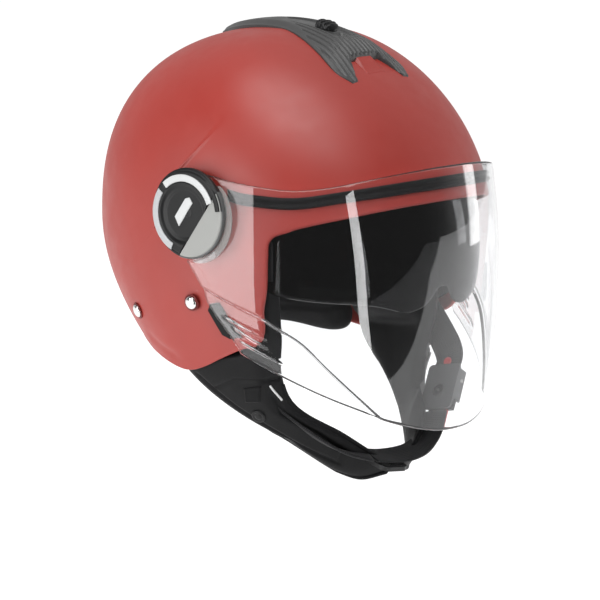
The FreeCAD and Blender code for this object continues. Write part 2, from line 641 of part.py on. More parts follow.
def make_cheek_core(room, stations):
    """Firm foam between the right cheek pad and the shell."""
    core = side_prism(core_outline(0.0), -118.0, -97.0).common(blob(-SHELL_WALL - FOAM_GAP)).cut(room)
    # room for the sun visor's arm, for the strap and for its anchor
    core = core.cut(box(-104.0, -96.0, -80.0, 30.0, 2.0, 60.0))
    core = core.cut(box(-122.0, -108.5, -24.0, 20.0, -45.0, 30.0)).cut(anchor_room(-130.0, -100.0))
    return one_solid(core.cut(strap_room(stations)))


def make_neck_roll():
    """Padded roll along the rear lower edge, between the cheek pads."""
    roll = blob(-SHELL_WALL - 1.0).cut(head_room(-4.0))
    band = [(26.0, -20.0), (66.0, -18.5), (150.0, -18.5), (150.0, -40.0), (110.0, -41.0), (76.0, -43.0),
            (48.0, -49.0), (26.0, -52.0)]
    roll = roll.common(side_prism(closed(band)))
    return one_solid(roll.cut(anchor_room(-130.0, -91.0)).cut(anchor_room(91.0, 130.0)))


# ---- chin strap ---------------------------------------------------------------------------------
CHIN_STATIONS = [               # from the slider under the chin to the buckle on the left
    ((-26.0, -84.0, -108.5), (0.1, 1.0, 0.3), (0.25, -0.2, 1.0)),
    ((-8.0, -88.0, -111.0), (0.0, 1.0, 0.3), (0.05, -0.3, 1.0)),
    ((12.0, -89.5, -110.5), (0.0, 1.0, 0.2), (-0.15, -0.2, 1.0)),
    ((30.0, -86.0, -107.0), (0.0, 1.0, 0.0), (-0.5, 0.0, 0.87)),
    ((44.6, -81.5, -100.4), (0.0, 1.0, -0.15), (-0.75, 0.05, 0.65)),
    ((51.8, -79.5, -89.8), (0.0, 1.0, -0.18), (-0.84, 0.1, 0.54)),
]
LEFT_STATIONS = [               # from the left rivet down to the buckle
    ((112.5, -7.0, 2.0), (0.0, 1.0, 0.0), (-1.0, 0.0, 0.1)),
    ((110.5, -9.0, -10.0), (0.0, 1.0, 0.0), (-1.0, 0.0, 0.2)),
    ((101.0, -28.0, -21.0), (0.0, 0.9, -0.4), (-1.0, 0.0, 0.35)),
    ((90.0, -52.0, -37.0), (0.0, 0.9, -0.4), (-0.9, 0.0, 0.45)),
    ((78.3, -72.5, -54.0), (0.0, 1.0, -0.2), (-0.84, 0.1, 0.54)),
    ((71.1, -74.9, -64.6), (0.0, 1.0, -0.18), (-0.84, 0.1, 0.54)),
]


def framed(shape, centre, along, normal):
    """Moves a shape made at the origin, long side on X and face on Z, onto a strap."""
    x = V(*along).normalize()
    z = V(*normal)
    z = (z - x * z.dot(x)).normalize()
    y = z.cross(x)
    matrix = FreeCAD.Matrix(x.x, y.x, z.x, centre[0], x.y, y.y, z.y, centre[1],
                            x.z, y.z, z.z, centre[2], 0, 0, 0, 1)
    moved = shape.copy()
    moved.Placement = FreeCAD.Placement(matrix)
    return moved


def rounded_plate(length, width, thick, corner):
    """Flat plate with rounded corners, centred on the origin."""
    plate = Part.makeBox(length, width, thick, V(-length / 2.0, -width / 2.0, -thick / 2.0))
    uprights = [e for e in plate.Edges if abs(e.tangentAt(e.FirstParameter).z) > 0.9]
    return plate.makeFillet(corner, uprights)


# centre, direction of the length and outward normal of what sits on the strap
SLIDER_AT = ((-15.8, -87.2, -113.3), (1.0, -0.12, -0.1), (0.1, -0.28, 1.0))
BUCKLE_AT = ((65.0, -77.0, -76.0), (0.45, 0.12, 0.66), (0.85, -0.1, -0.55))
HINGE_X, HINGE_Z = 6.0, 2.6         # the lever's hinge in the buckle's own frame


def make_slider():
    """Three-bar slider that the strap is threaded through."""
    frame = rounded_plate(24.0, 30.0, 3.0, 6.0)
    for x in (-5.5, 5.5):
        window = rounded_plate(5.6, 24.0, 6.0, 1.5)
        window.translate(V(x, 0, 0))
        frame = frame.cut(window)
    return framed(frame, *SLIDER_AT)


def y_cylinder(radius, y_low, y_high, x, z):
    """Cylinder along Y, for the pieces drawn in the buckle's own frame."""
    return Part.makeCylinder(radius, y_high - y_low, V(x, y_low, z), V(0, 1, 0))


def z_cylinder(radius, z_low, z_high, x, y):
    """Cylinder along Z, for the pieces drawn in the buckle's own frame."""
    return Part.makeCylinder(radius, z_high - z_low, V(x, y, z_low))


def buckle_housing():
    """Base plate with two ears for the hinge pin."""
    housing = rounded_plate(34.0, 27.0, 1.6, 3.0)
    housing.translate(V(0, 0, -3.2))
    for y in (-12.7, 11.1):
        housing = housing.fuse(box(-9.0, 14.0, y, y + 1.6, -3.2, 5.6))
    housing = housing.cut(y_cylinder(1.55, -20.0, 20.0, HINGE_X, HINGE_Z))
    return housing.cut(z_cylinder(2.65, -6.0, 0.0, -3.0, 0.0))


def buckle_lever():
    """Lever with a finger tail; its nose holds the tongue's teeth."""
    lever = box(-12.0, 9.5, -10.6, 10.6, 1.0, 4.2)
    lever = lever.cut(box(-3.0, 20.0, -12.0, 12.0, -1.0, 1.4))
    lever = lever.fuse(box(-14.5, -11.0, -9.0, 9.0, 3.0, 6.0))
    return lever.cut(y_cylinder(1.55, -20.0, 20.0, HINGE_X, HINGE_Z))


def buckle_tongue():
    """Toothed tongue that the chin strap is sewn to."""
    tongue = rounded_plate(40.0, 13.0, 1.8, 3.0)
    tongue.translate(V(-14.0, 0, -1.2))
    for i in range(6):
        x = -29.0 + 2.2 * i
        tongue = tongue.fuse(box(x, x + 1.0, -5.0, 5.0, -0.3, 0.5))
    return tongue


def buckle_eyelet():
    """Hollow rivet through the base plate that fixes the strap's end."""
    eyelet = z_cylinder(4.2, -4.8, -4.0, -3.0, 0.0).fuse(z_cylinder(2.6, -4.8, -2.4, -3.0, 0.0))
    return eyelet.cut(z_cylinder(1.5, -10.0, 0.0, -3.0, 0.0))


def make_buckle():
    """The pieces of the ratchet buckle, by name, where they lie on the strap."""
    parts = {
        "buckle_housing": buckle_housing(),
        "buckle_lever": buckle_lever(),
        "buckle_pin": y_cylinder(1.5, -12.8, 12.8, HINGE_X, HINGE_Z),
        "buckle_tongue": buckle_tongue(),
        "buckle_eyelet": buckle_eyelet(),
        "buckle_pull_tab": box(-30.0, -14.5, -5.0, 5.0, 4.0, 5.2),
    }
    return {name: framed(shape.removeSplitter(), *BUCKLE_AT) for name, shape in parts.items()}


def make_rivets():
    """Domed rivets through the shell that hold the strap's anchors."""
    solids = []
    for y, z in RIVETS:
        for name, sign in SIDES:
            line = Part.makeLine(V(0, y, z), V(sign * 160.0, y, z))
            hit = line.common(blob(0.0)).BoundBox
            x_out = max(abs(hit.XMin), abs(hit.XMax))
            dome_r = 7.0
            ball = Part.makeSphere(dome_r, V(sign * (x_out - dome_r + 1.8), y, z))
            low, high = sorted((sign * (x_out - 4.0), sign * (x_out + 4.0)))
            head = ball.common(x_cylinder(RIVET_R, low, high, y, z)).cut(blob(0.0))
            low, high = sorted((sign * (x_out - 5.3), sign * (x_out + 0.6)))
            solids.append(one_solid(head.fuse(x_cylinder(RIVET_SHANK, low, high, y, z)).removeSplitter()))
    return Part.makeCompound(solids)


def make_anchor():
    """Steel plate inside the shell's right side that joins the rivets to the strap."""
    plate = blob(-SHELL_WALL - 0.1).common(side_prism(closed(ANCHOR), -200.0, -60.0))
    inside = plate.copy()
    inside.translate(V(1.4, 0, 0))
    plate = plate.cut(inside)
    for y, z in RIVETS:
        plate = plate.cut(x_cylinder(RIVET_SHANK + 0.1, -150.0, 0.0, y, z))
    return one_solid(plate)


# ---- assembly -----------------------------------------------------------------------------------
def main():
    outer = blob(0.0)
    room = head_room(-6.0, -140.0)
    keep("outer_shell", make_shell(outer))
    keep("brow_seal", make_brow_seal(outer))
    keep("top_fairing", make_fairing(outer))
    keep("intake_grille", make_intake_grille(outer))
    keep_pair("pivot_base", make_pivot_base(outer))
    keep_pair("ratchet_ring", make_ratchet_ring())
    keep_pair("visor_stop", make_visor_stop(outer))
    keep("clear_visor", make_visor())
    keep_pair("pivot_cover", make_cover())
    keep_pair("cover_trim", trim_ring(0.06))
    keep_pair("cover_mark", make_cover_mark())
    keep_pair("pivot_screw", make_pivot_screw())
    keep("sun_visor", make_sun_visor())
    keep_pair("sun_visor_arm", make_sun_arm())
    keep_pair("sun_visor_bracket", make_sun_bracket())
    keep("slider_knob", make_knob())
    keep("slider_carriage", make_carriage())
    keep("foam_liner", make_foam())
    keep("comfort_liner", make_comfort_liner())
    pad_right, pad_left = make_cheek_pads(room)
    keep("cheek_pad_right", pad_right)
    keep("cheek_pad_left", pad_left)
    left_on_right = [((-c[0], c[1], c[2]), a, (-n[0], n[1], n[2])) for c, a, n in LEFT_STATIONS]
    keep("cheek_core_right", make_cheek_core(room, STRAP_STATIONS))
    keep("cheek_core_left", mirrored(make_cheek_core(room, left_on_right)))
    keep("neck_roll", make_neck_roll())
    keep("strap_rivets", make_rivets())
    keep_pair("strap_anchor", make_anchor())
    keep("strap_right", ribbon(STRAP_STATIONS, STRAP_WIDTH, STRAP_THICK))
    keep("strap_chin", ribbon(CHIN_STATIONS, STRAP_WIDTH, STRAP_THICK))
    keep("strap_left", ribbon(LEFT_STATIONS, STRAP_WIDTH, STRAP_THICK))
    keep("strap_slider", make_slider())
    for name, shape in make_buckle().items():
        keep(name, shape)

    os.makedirs("parts", exist_ok=True)
    for name, shape in PARTS.items():
        shape.exportStep("parts/" + name + ".step")
        b = shape.BoundBox
        print("%-22s %d solid %9.1f mm3  valid %s  x %.1f..%.1f y %.1f..%.1f z %.1f..%.1f" % (
            name, len(shape.Solids), shape.Volume, shape.isValid(),
            b.XMin, b.XMax, b.YMin, b.YMax, b.ZMin, b.ZMax))


main()
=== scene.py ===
import math

import bmesh
import bpy
import numpy as np
from mathutils import Matrix, Vector
from mathutils.bvhtree import BVHTree


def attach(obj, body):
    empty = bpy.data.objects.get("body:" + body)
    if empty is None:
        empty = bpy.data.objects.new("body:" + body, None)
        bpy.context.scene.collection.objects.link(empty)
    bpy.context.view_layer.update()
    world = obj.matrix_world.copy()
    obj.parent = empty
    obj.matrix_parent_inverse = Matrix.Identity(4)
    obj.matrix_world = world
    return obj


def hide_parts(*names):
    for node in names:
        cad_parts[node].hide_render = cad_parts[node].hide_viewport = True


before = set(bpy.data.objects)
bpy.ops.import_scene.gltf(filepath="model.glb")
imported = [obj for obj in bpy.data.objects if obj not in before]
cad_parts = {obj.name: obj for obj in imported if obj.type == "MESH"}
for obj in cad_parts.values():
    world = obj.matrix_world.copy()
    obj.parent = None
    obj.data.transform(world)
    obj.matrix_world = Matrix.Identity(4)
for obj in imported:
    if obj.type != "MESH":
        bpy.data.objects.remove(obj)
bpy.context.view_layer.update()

# Open-face motorcycle helmet.  The forms below are worked out in millimetres in the frame's own
# axes (+X the wearer's left, -Y the front, +Z up) and turned into metres when a mesh is made.
MM = 0.001

# ---- driving dimensions of the shell, the visors and the axes they turn about --------------------
GIRTH_Z, CROWN_Z, BROW_Z = 46.0, 174.0, 51.5
REAR_REACH, FRONT_REACH, HALF_WIDTH = 136.0, 132.5, 122.6
PLAN_POWER = 2.15
SHELL_WALL = 3.5
PIVOT_Y, PIVOT_Z = -14.0, 60.0
COVER_R = 29.9
COVER_IN, COVER_OUT = 127.4, 131.6
VISOR_WIDTH, VISOR_REACH, VISOR_MID_Z, VISOR_CENTRE_Y, VISOR_POWER = 132.0, 143.2, 20.0, 3.0, 2.06
VISOR_WALL = 2.2
SUN_Y, SUN_Z, SUN_R, SUN_HALF, SUN_POWER, SUN_WALL = 10.0, 28.0, 137.0, 110.0, 2.3, 2.0
DECK_R, DECK_CROWN = 151.5, 96.0
KNOB_LEAN = 13.7
HEAD_WIDTH, HEAD_FRONT, HEAD_REAR, HEAD_TOP = 78.0, 97.0, 103.0, 134.0
RIVETS = ((-7.0, -1.3), (52.0, -14.0))


# ---- curves and surfaces -------------------------------------------------------------------------
def dome(t, power):
    """Radius of a unit dome at share t of its height."""
    return np.maximum(1.0 - np.clip(t, 0.0, 1.0) ** power, 0.0) ** (1.0 / power)


def smooth(t):
    """0 to 1 with flat ends."""
    t = np.clip(t, 0.0, 1.0)
    return t * t * (3.0 - 2.0 * t)


def spline(points, count):
    """Points evenly spaced along a smooth curve through the given ones."""
    p = np.asarray(points, float)
    ends = np.vstack([2 * p[0] - p[1], p, 2 * p[-1] - p[-2]])
    fine = []
    for i in range(1, len(ends) - 2):
        a, b, c, d = ends[i - 1:i + 3]
        for t in np.linspace(0.0, 1.0, 24, endpoint=False):
            fine.append(0.5 * (2 * b + (c - a) * t + (2 * a - 5 * b + 4 * c - d) * t ** 2
                               + (3 * b - a - 3 * c + d) * t ** 3))
    fine.append(p[-1])
    return evenly(np.array(fine), count)


def evenly(line, count):
    """The polyline's points, moved to even spacing."""
    steps = np.linalg.norm(np.diff(line, axis=0), axis=1)
    along = np.concatenate([[0.0], np.cumsum(steps)])
    wanted = np.linspace(0.0, along[-1], count)
    return np.stack([np.interp(wanted, along, line[:, k]) for k in range(line.shape[1])], axis=1)


def curve_height(points):
    """Height as a function of y along a smooth curve."""
    dense = spline(points, 200)
    order = np.argsort(dense[:, 0])
    return lambda y: np.interp(y, dense[order, 0], dense[order, 1])


def to_line(y, z, line):
    """Distance to a polyline, the side (positive on its right) and the share along it."""
    y, z = np.asarray(y, float), np.asarray(z, float)
    best = np.full(y.shape, 1e9)
    side = np.zeros(y.shape)
    share = np.zeros(y.shape)
    steps = np.linalg.norm(np.diff(line, axis=0), axis=1)
    along = np.concatenate([[0.0], np.cumsum(steps)])
    for i in range(len(line) - 1):
        a, b = line[i], line[i + 1]
        d = b - a
        t = np.clip(((y - a[0]) * d[0] + (z - a[1]) * d[1]) / (d @ d), 0.0, 1.0)
        dy, dz = y - (a[0] + t * d[0]), z - (a[1] + t * d[1])
        dist = np.hypot(dy, dz)
        near = dist < best
        best = np.where(near, dist, best)
        side = np.where(near, np.sign(d[1] * dy - d[0] * dz), side)
        share = np.where(near, (along[i] + t * steps[i]) / along[-1], share)
    return best, side, share


def shell_sizes(z, grow=0.0):
    """Half width, front reach and rear reach of the shell's level section."""
    z = np.asarray(z, float)
    below = np.maximum(GIRTH_Z - z, 0.0) / 100.0
    above = np.maximum(z - GIRTH_Z, 0.0) / (CROWN_Z + grow - GIRTH_Z)
    above_brow = np.maximum(z - BROW_Z, 0.0) / (CROWN_Z + grow - BROW_Z)
    width = (HALF_WIDTH + grow) * dome(above, 2.47) * (1.0 - 0.13 * below ** 2)
    rear = (REAR_REACH + grow) * dome(above, 2.39) * (1.0 - 0.48 * below ** 2)
    front = (FRONT_REACH + grow) * dome(above_brow, 1.64)
    return width, front, rear


def shell_x(y, z, grow=0.0):
    """Half width of the shell's surface over a point of the side view."""
    width, front, rear = shell_sizes(z, grow)
    reach = np.maximum(np.where(np.asarray(y) > 0.0, rear, front), 1e-6)
    return width * dome(np.abs(y) / reach, PLAN_POWER)


def shell_normal(point):
    """Outward direction of the shell's surface at a point."""
    def level(p):
        width, front, rear = shell_sizes(p[2])
        reach = rear if p[1] > 0.0 else front
        return (abs(p[0]) / width) ** PLAN_POWER + (abs(p[1]) / reach) ** PLAN_POWER
    h = 0.05
    g = [level([point[k] + h * (k == i) for k in range(3)])
         - level([point[k] - h * (k == i) for k in range(3)]) for i in range(3)]
    return np.array(g) / np.linalg.norm(g)


def shell_top(x, y):
    """Height of the shell's surface over a point of the plan view."""
    low, high = GIRTH_Z, CROWN_Z
    for _ in range(30):
        middle = 0.5 * (low + high)
        if shell_x(y, middle) > abs(x):
            low = middle
        else:
            high = middle
    return low


def visor_sizes(z, grow=0.0):
    """Half width and front reach of the visor's level section."""
    u = (np.asarray(z, float) - VISOR_MID_Z) / 100.0
    width = VISOR_WIDTH - np.where(u < 0, 16.0, 8.5) * u * u
    reach = VISOR_REACH - np.where(u < 0, 3.4, 14.5) * u * u
    return width + grow, reach + grow


def visor_angle(y, z):
    """Angle round the visor, from the middle plane, of a point of its side view."""
    _, reach = visor_sizes(z)
    c = np.clip((VISOR_CENTRE_Y - np.asarray(y, float)) / reach, -1.0, 1.0)
    return np.arccos(np.sign(c) * np.abs(c) ** (VISOR_POWER / 2.0))


def visor_point(angle, z, grow=0.0):
    """Points of the visor's surface at angles from the middle plane and heights."""
    width, reach = visor_sizes(z, grow)
    c, s = np.cos(angle), np.sin(angle)
    x = width * np.abs(s) ** (2.0 / VISOR_POWER)
    y = VISOR_CENTRE_Y - reach * np.sign(c) * np.abs(c) ** (2.0 / VISOR_POWER)
    return np.stack([x, y, z + 0.0 * x], axis=-1)


def sun_radius(x, grow):
    """Radius of the sun visor about its axis, at a distance from the middle plane."""
    return (SUN_R + grow) * dome(np.abs(x) / (SUN_HALF + grow), SUN_POWER)


# ---- mesh making ---------------------------------------------------------------------------------
def grid_faces(rows, columns):
    """Quads of a grid whose points run row by row."""
    faces = []
    for i in range(rows - 1):
        for j in range(columns - 1):
            a = i * columns + j
            faces.append((a, a + 1, a + columns + 1, a + columns))
    return faces


def ring_faces(rings, steps, first=0, over=False):
    """Quads between closed rings whose points run ring by ring; over turns them over."""
    faces = []
    for k in range(rings - 1):
        for i in range(steps):
            a = first + k * steps + i
            b = first + k * steps + (i + 1) % steps
            faces.append((a, a + steps, b + steps, b) if over else (a, b, b + steps, a + steps))
    return faces


def capped_rings(rings, steps):
    """Faces of a tube made of rings, with a face over each end."""
    last = (rings - 1) * steps
    return ring_faces(rings, steps) + [tuple(reversed(range(steps))), tuple(range(last, last + steps))]


def turned_over(faces):
    """The same faces, looking the other way."""
    return [tuple(reversed(f)) for f in faces]


def facing(points, faces, away):
    """The faces, turned over if they look against the given directions."""
    if np.sum(normals_of(points, faces) * np.asarray(away), axis=1).mean() < 0:
        return turned_over(faces)
    return faces


def both_halves(layers, faces):
    """Adds the mirror image of a half that ends in the middle plane, for several layers of points."""
    count = len(layers[0])
    middle = np.abs(layers[0][:, 0]) < 1e-4
    twin = np.arange(count)
    twin[~middle] = count + np.arange((~middle).sum())
    whole = []
    for points in layers:
        flipped = points[~middle] * np.array([-1.0, 1.0, 1.0])
        whole.append(np.vstack([points, flipped]))
    mirrored = [tuple(int(twin[i]) for i in reversed(f)) for f in faces]
    return whole, list(faces) + mirrored


def normals_of(points, faces):
    """Smooth unit normals of a mesh."""
    total = np.zeros_like(points)
    quads = np.array([f if len(f) == 4 else (*f, f[2]) for f in faces])
    n = np.cross(points[quads[:, 2]] - points[quads[:, 0]], points[quads[:, 3]] - points[quads[:, 1]])
    for k in range(4):
        np.add.at(total, quads[:, k], n)
    length = np.linalg.norm(total, axis=1, keepdims=True)
    return total / np.maximum(length, 1e-9)


def piece(name, points, faces, body, material, flat=False):
    """A mesh object of the model, in metres, riding on a body."""
    mesh = bpy.data.meshes.new(name)
    mesh.from_pydata((np.asarray(points) * MM).tolist(), [], faces)
    mesh.update()
    if not flat:
        mesh.polygons.foreach_set("use_smooth", [True] * len(mesh.polygons))
    obj = bpy.data.objects.new(name, mesh)
    bpy.context.scene.collection.objects.link(obj)
    obj.data.materials.append(material)
    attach(obj, body)
    return obj


def walled(outer, inner, faces, rows=3, bulge=1.0):
    """Closes two matching layers into a solid with rounded edges."""
    count = len(outer)
    seen = {}
    for f in faces:
        for i in range(len(f)):
            a, b = f[i], f[(i + 1) % len(f)]
            if a != b:
                seen[(a, b)] = f
    edge = [(a, b) for (a, b) in seen if (b, a) not in seen]
    away = np.zeros_like(outer)
    for a, b in edge:
        f = seen[(a, b)]
        n = np.cross(outer[f[2]] - outer[f[0]], outer[f[-1]] - outer[f[1]])
        out = np.cross(outer[b] - outer[a], n)
        out /= max(np.linalg.norm(out), 1e-9)
        away[a] += out
        away[b] += out
    rim = sorted({i for e in edge for i in e})
    place = {v: k for k, v in enumerate(rim)}
    rim = np.array(rim, int)
    points = [outer, inner]
    if len(rim):
        half = 0.5 * (outer[rim] - inner[rim])
        out = away[rim] / np.maximum(np.linalg.norm(away[rim], axis=1, keepdims=True), 1e-9)
        out -= half * (np.sum(out * half, axis=1) / np.maximum(np.sum(half * half, axis=1), 1e-9))[:, None]
        size = np.linalg.norm(half, axis=1, keepdims=True)
        centre = 0.5 * (outer[rim] + inner[rim])
        for k in range(1, rows + 1):
            turn = math.pi * k / (rows + 1)
            points.append(centre + half * math.cos(turn) + out * size * bulge * math.sin(turn))
    result = list(faces) + [tuple(count + i for i in reversed(f)) for f in faces]
    for a, b in edge:
        line_a = [a] + [2 * count + k * len(rim) + place[a] for k in range(rows)] + [count + a]
        line_b = [b] + [2 * count + k * len(rim) + place[b] for k in range(rows)] + [count + b]
        for k in range(rows + 1):
            result.append((line_b[k], line_a[k], line_a[k + 1], line_b[k + 1]))
    return np.vstack(points), result


def lathe(profile, steps):
    """Rings of (radius, x) about the X axis, closed at both ends."""
    points = []
    for radius, x in profile:
        for i in range(steps):
            a = 2.0 * math.pi * i / steps
            points.append((x, radius * math.cos(a), radius * math.sin(a)))
    faces = ring_faces(len(profile), steps, over=True) + [tuple(range(steps))]
    faces.append(tuple((len(profile) - 1) * steps + i for i in reversed(range(steps))))
    return np.array(points), faces


def tube(path, radius, steps):
    """Round tube along a path, with closed ends."""
    path = np.asarray(path, float)
    along = np.gradient(path, axis=0)
    along /= np.linalg.norm(along, axis=1, keepdims=True)
    side = np.cross(along[0], [0.0, 0.0, 1.0])
    if np.linalg.norm(side) < 0.1:
        side = np.cross(along[0], [0.0, 1.0, 0.0])
    points = []
    for p, t in zip(path, along):
        side = side - t * (side @ t)
        side /= np.linalg.norm(side)
        other = np.cross(t, side)
        for i in range(steps):
            a = 2.0 * math.pi * i / steps
            points.append(p + radius * (side * math.cos(a) + other * math.sin(a)))
    return np.array(points), capped_rings(len(path), steps)


def joined(parts):
    """Several (points, faces) as one."""
    points, faces, first = [], [], 0
    for p, f in parts:
        points.append(np.asarray(p, float))
        faces += [tuple(i + first for i in face) for face in f]
        first += len(p)
    return np.vstack(points), faces


def flipped(points, faces):
    """The mirror image on the other side of the middle plane."""
    return np.asarray(points) * np.array([-1.0, 1.0, 1.0]), turned_over(faces)


def set_on(points, direction, at):
    """Points about the X axis, turned to look in a direction and moved to a place."""
    turn = Vector((1.0, 0.0, 0.0)).rotation_difference(Vector(direction)).to_matrix()
    return np.array([tuple(turn @ Vector(p)) for p in points]) + np.array(at)


# ---- materials -----------------------------------------------------------------------------------
def shader(name, roughness, metallic=0.0, **sockets):
    """A material with a Principled shader, its node tree and the shader."""
    mat = bpy.data.materials.new(name)
    mat.use_nodes = True
    tree = mat.node_tree
    bsdf = tree.nodes["Principled BSDF"]
    bsdf.inputs["Roughness"].default_value = roughness
    bsdf.inputs["Metallic"].default_value = metallic
    for socket, value in sockets.items():
        bsdf.inputs[socket.replace("_", " ")].default_value = value
    return mat, tree, bsdf


def node(tree, kind, links=(), **values):
    """A node with values set by socket name or number and with its links made."""
    made = tree.nodes.new(kind)
    for key, value in values.items():
        if hasattr(made, key):
            setattr(made, key, value)
        else:
            made.inputs[key.replace("_", " ")].default_value = value
    for socket, source in links:
        tree.links.new(source, made.inputs[socket])
    return made


def noise(tree, coords, scale, detail=3.0, roughness=0.55):
    """A noise texture over the given coordinates."""
    return node(tree, "ShaderNodeTexNoise", [("Vector", coords)],
                Scale=scale, Detail=detail, Roughness=roughness)


def set_bump(tree, bsdf, height, strength, distance):
    """Gives the shader a bump from a height, its distance in millimetres."""
    bump = node(tree, "ShaderNodeBump", [("Height", height)], Strength=strength, Distance=distance * MM)
    tree.links.new(bump.outputs["Normal"], bsdf.inputs["Normal"])


def set_roughness(tree, bsdf, value, **limits):
    """Lets the shader's roughness follow a value between limits."""
    rough = node(tree, "ShaderNodeMapRange", [("Value", value)], **limits)
    tree.links.new(rough.outputs["Result"], bsdf.inputs["Roughness"])


def blend_colours(tree, factor, dark, light):
    """Colour that runs from dark to light with a factor."""
    ramp = node(tree, "ShaderNodeValToRGB", [("Fac", factor)])
    ramp.color_ramp.elements[0].position = 0.3
    ramp.color_ramp.elements[1].position = 0.7
    ramp.color_ramp.elements[0].color = (*dark, 1.0)
    ramp.color_ramp.elements[1].color = (*light, 1.0)
    return ramp.outputs["Color"]


def moulded(name, colour, roughness, spread, grain, relief, metallic=0.0, wear=0.0, **sockets):
    """Plastic, lacquer or metal: broad colour drift, fine grain, uneven gloss and worn edges."""
    mat, tree, bsdf = shader(name, roughness, metallic, **sockets)
    coords = node(tree, "ShaderNodeTexCoord").outputs["Object"]
    broad = noise(tree, coords, 22.0)
    colour = np.array(colour)
    tint = blend_colours(tree, broad.outputs["Fac"],
                         colour * (1 - spread), np.minimum(colour * (1 + spread), 1))
    if wear > 0.0:
        edge = node(tree, "ShaderNodeNewGeometry").outputs["Pointiness"]
        worn = node(tree, "ShaderNodeMapRange", [("Value", edge)],
                    From_Min=0.52, From_Max=0.62, To_Max=wear)
        mix = node(tree, "ShaderNodeMix", data_type="RGBA")
        tree.links.new(worn.outputs["Result"], mix.inputs[0])
        tree.links.new(tint, mix.inputs[6])
        mix.inputs[7].default_value = (*np.minimum(colour * 1.7 + 0.03, 1.0), 1.0)
        tint = mix.outputs[2]
    tree.links.new(tint, bsdf.inputs["Base Color"])
    gloss = noise(tree, coords, 75.0, 5.0)
    set_roughness(tree, bsdf, gloss.outputs["Fac"], From_Min=0.3, From_Max=0.7,
                  To_Min=max(roughness - 0.05, 0.02), To_Max=min(roughness + 0.05, 1.0))
    fine = noise(tree, coords, grain, 2.0)
    set_bump(tree, bsdf, fine.outputs["Fac"], 0.5, relief)
    return mat


def cloth(name, colour, roughness, cell, relief, spread, sheen):
    """Black cloth with a grained, slightly creased face."""
    mat, tree, bsdf = shader(name, roughness, Sheen_Weight=sheen, Sheen_Roughness=0.5,
                             Specular_IOR_Level=0.15)
    coords = node(tree, "ShaderNodeTexCoord").outputs["Object"]
    broad = noise(tree, coords, 30.0, 4.0)
    colour = np.array(colour)
    tint = blend_colours(tree, broad.outputs["Fac"], colour * (1 - spread), colour * (1 + spread))
    tree.links.new(tint, bsdf.inputs["Base Color"])
    cells = node(tree, "ShaderNodeTexVoronoi", [("Vector", coords)], Scale=1000.0 / cell)
    creases = noise(tree, coords, 110.0, 4.0)
    height = node(tree, "ShaderNodeMath", [(0, cells.outputs["Distance"]), (1, creases.outputs["Fac"])])
    set_bump(tree, bsdf, height.outputs[0], 0.6, relief)
    set_roughness(tree, bsdf, cells.outputs["Distance"], To_Min=roughness - 0.08, To_Max=roughness + 0.08)
    return mat


def woven(name, colour, pitch):
    """Webbing: ribs across and along the strap, from its own UV map in millimetres."""
    mat, tree, bsdf = shader(name, 0.62, Sheen_Weight=0.1, Specular_IOR_Level=0.2)
    uv = node(tree, "ShaderNodeTexCoord").outputs["UV"]
    along, across = [
        node(tree, "ShaderNodeTexWave", [("Vector", uv)], bands_direction=way, Scale=scale / pitch,
             Distortion=0.4).outputs["Fac"]
        for way, scale in (("Y", 0.314), ("X", 0.22))]
    both = node(tree, "ShaderNodeMath", [(0, along), (1, across)], operation="MULTIPLY")
    tint = blend_colours(tree, both.outputs[0], np.array(colour) * 0.6, np.array(colour) * 1.6)
    tree.links.new(tint, bsdf.inputs["Base Color"])
    set_bump(tree, bsdf, both.outputs[0], 0.8, 0.25)
    return mat


def pane(name, colour, roughness, ior, let_light=1.0):
    """Clear moulded pane; lamps shine through it."""
    mat, tree, bsdf = shader(name, roughness, Transmission_Weight=1.0, IOR=ior)
    bsdf.inputs["Base Color"].default_value = (*colour, 1.0)
    coords = node(tree, "ShaderNodeTexCoord").outputs["Object"]
    scuffs = noise(tree, coords, 260.0, 5.0, 0.7)
    set_roughness(tree, bsdf, scuffs.outputs["Fac"], From_Min=0.45, From_Max=0.75,
                  To_Min=roughness, To_Max=roughness + 0.03)
    clear = node(tree, "ShaderNodeBsdfTransparent")
    clear.inputs["Color"].default_value = (*[c * let_light for c in colour], 1.0)
    path = node(tree, "ShaderNodeLightPath")
    mix = node(tree, "ShaderNodeMixShader", [(0, path.outputs["Is Shadow Ray"]), (1, bsdf.outputs[0]),
                                             (2, clear.outputs[0])])
    tree.links.new(mix.outputs[0], tree.nodes["Material Output"].inputs["Surface"])
    return mat


SHELL_RED = moulded("matt_red_lacquer", (0.375, 0.033, 0.023), 0.46, 0.03, 2600.0, 0.012,
                    Specular_IOR_Level=0.65)
# the shell's red painted darker: painted shade on the seat ring round each rivet head
SHELL_RED_PAINTED_SHADE = moulded("deep_red_lacquer", (0.16, 0.010, 0.008), 0.5, 0.05, 1800.0, 0.01)
BLACK = moulded("satin_black_plastic", (0.009, 0.009, 0.0095), 0.36, 0.12, 1500.0, 0.03, wear=0.2,
                Specular_IOR_Level=0.3)
GRAPHITE = moulded("graphite_plastic", (0.060, 0.060, 0.060), 0.42, 0.1, 1400.0, 0.03, wear=0.2)
RUBBER = moulded("seal_rubber", (0.007, 0.007, 0.007), 0.5, 0.2, 1800.0, 0.03, Specular_IOR_Level=0.2)
PALE = moulded("pale_grey_plastic", (0.68, 0.69, 0.69), 0.3, 0.03, 1200.0, 0.01)
# the pale grey painted darker: painted shade for the cover's lower band
PALE_PAINTED_SHADE = moulded("pale_grey_plastic_shaded", (0.5, 0.51, 0.52), 0.4, 0.03, 1200.0, 0.01)
EDGE_GREY = moulded("smoked_edge", (0.12, 0.125, 0.125), 0.3, 0.05, 1200.0, 0.01)
CHROME = moulded("polished_steel", (0.8, 0.79, 0.78), 0.14, 0.04, 700.0, 0.01, metallic=1.0)
STEEL = moulded("brushed_steel", (0.46, 0.46, 0.47), 0.34, 0.08, 700.0, 0.03, metallic=1.0)
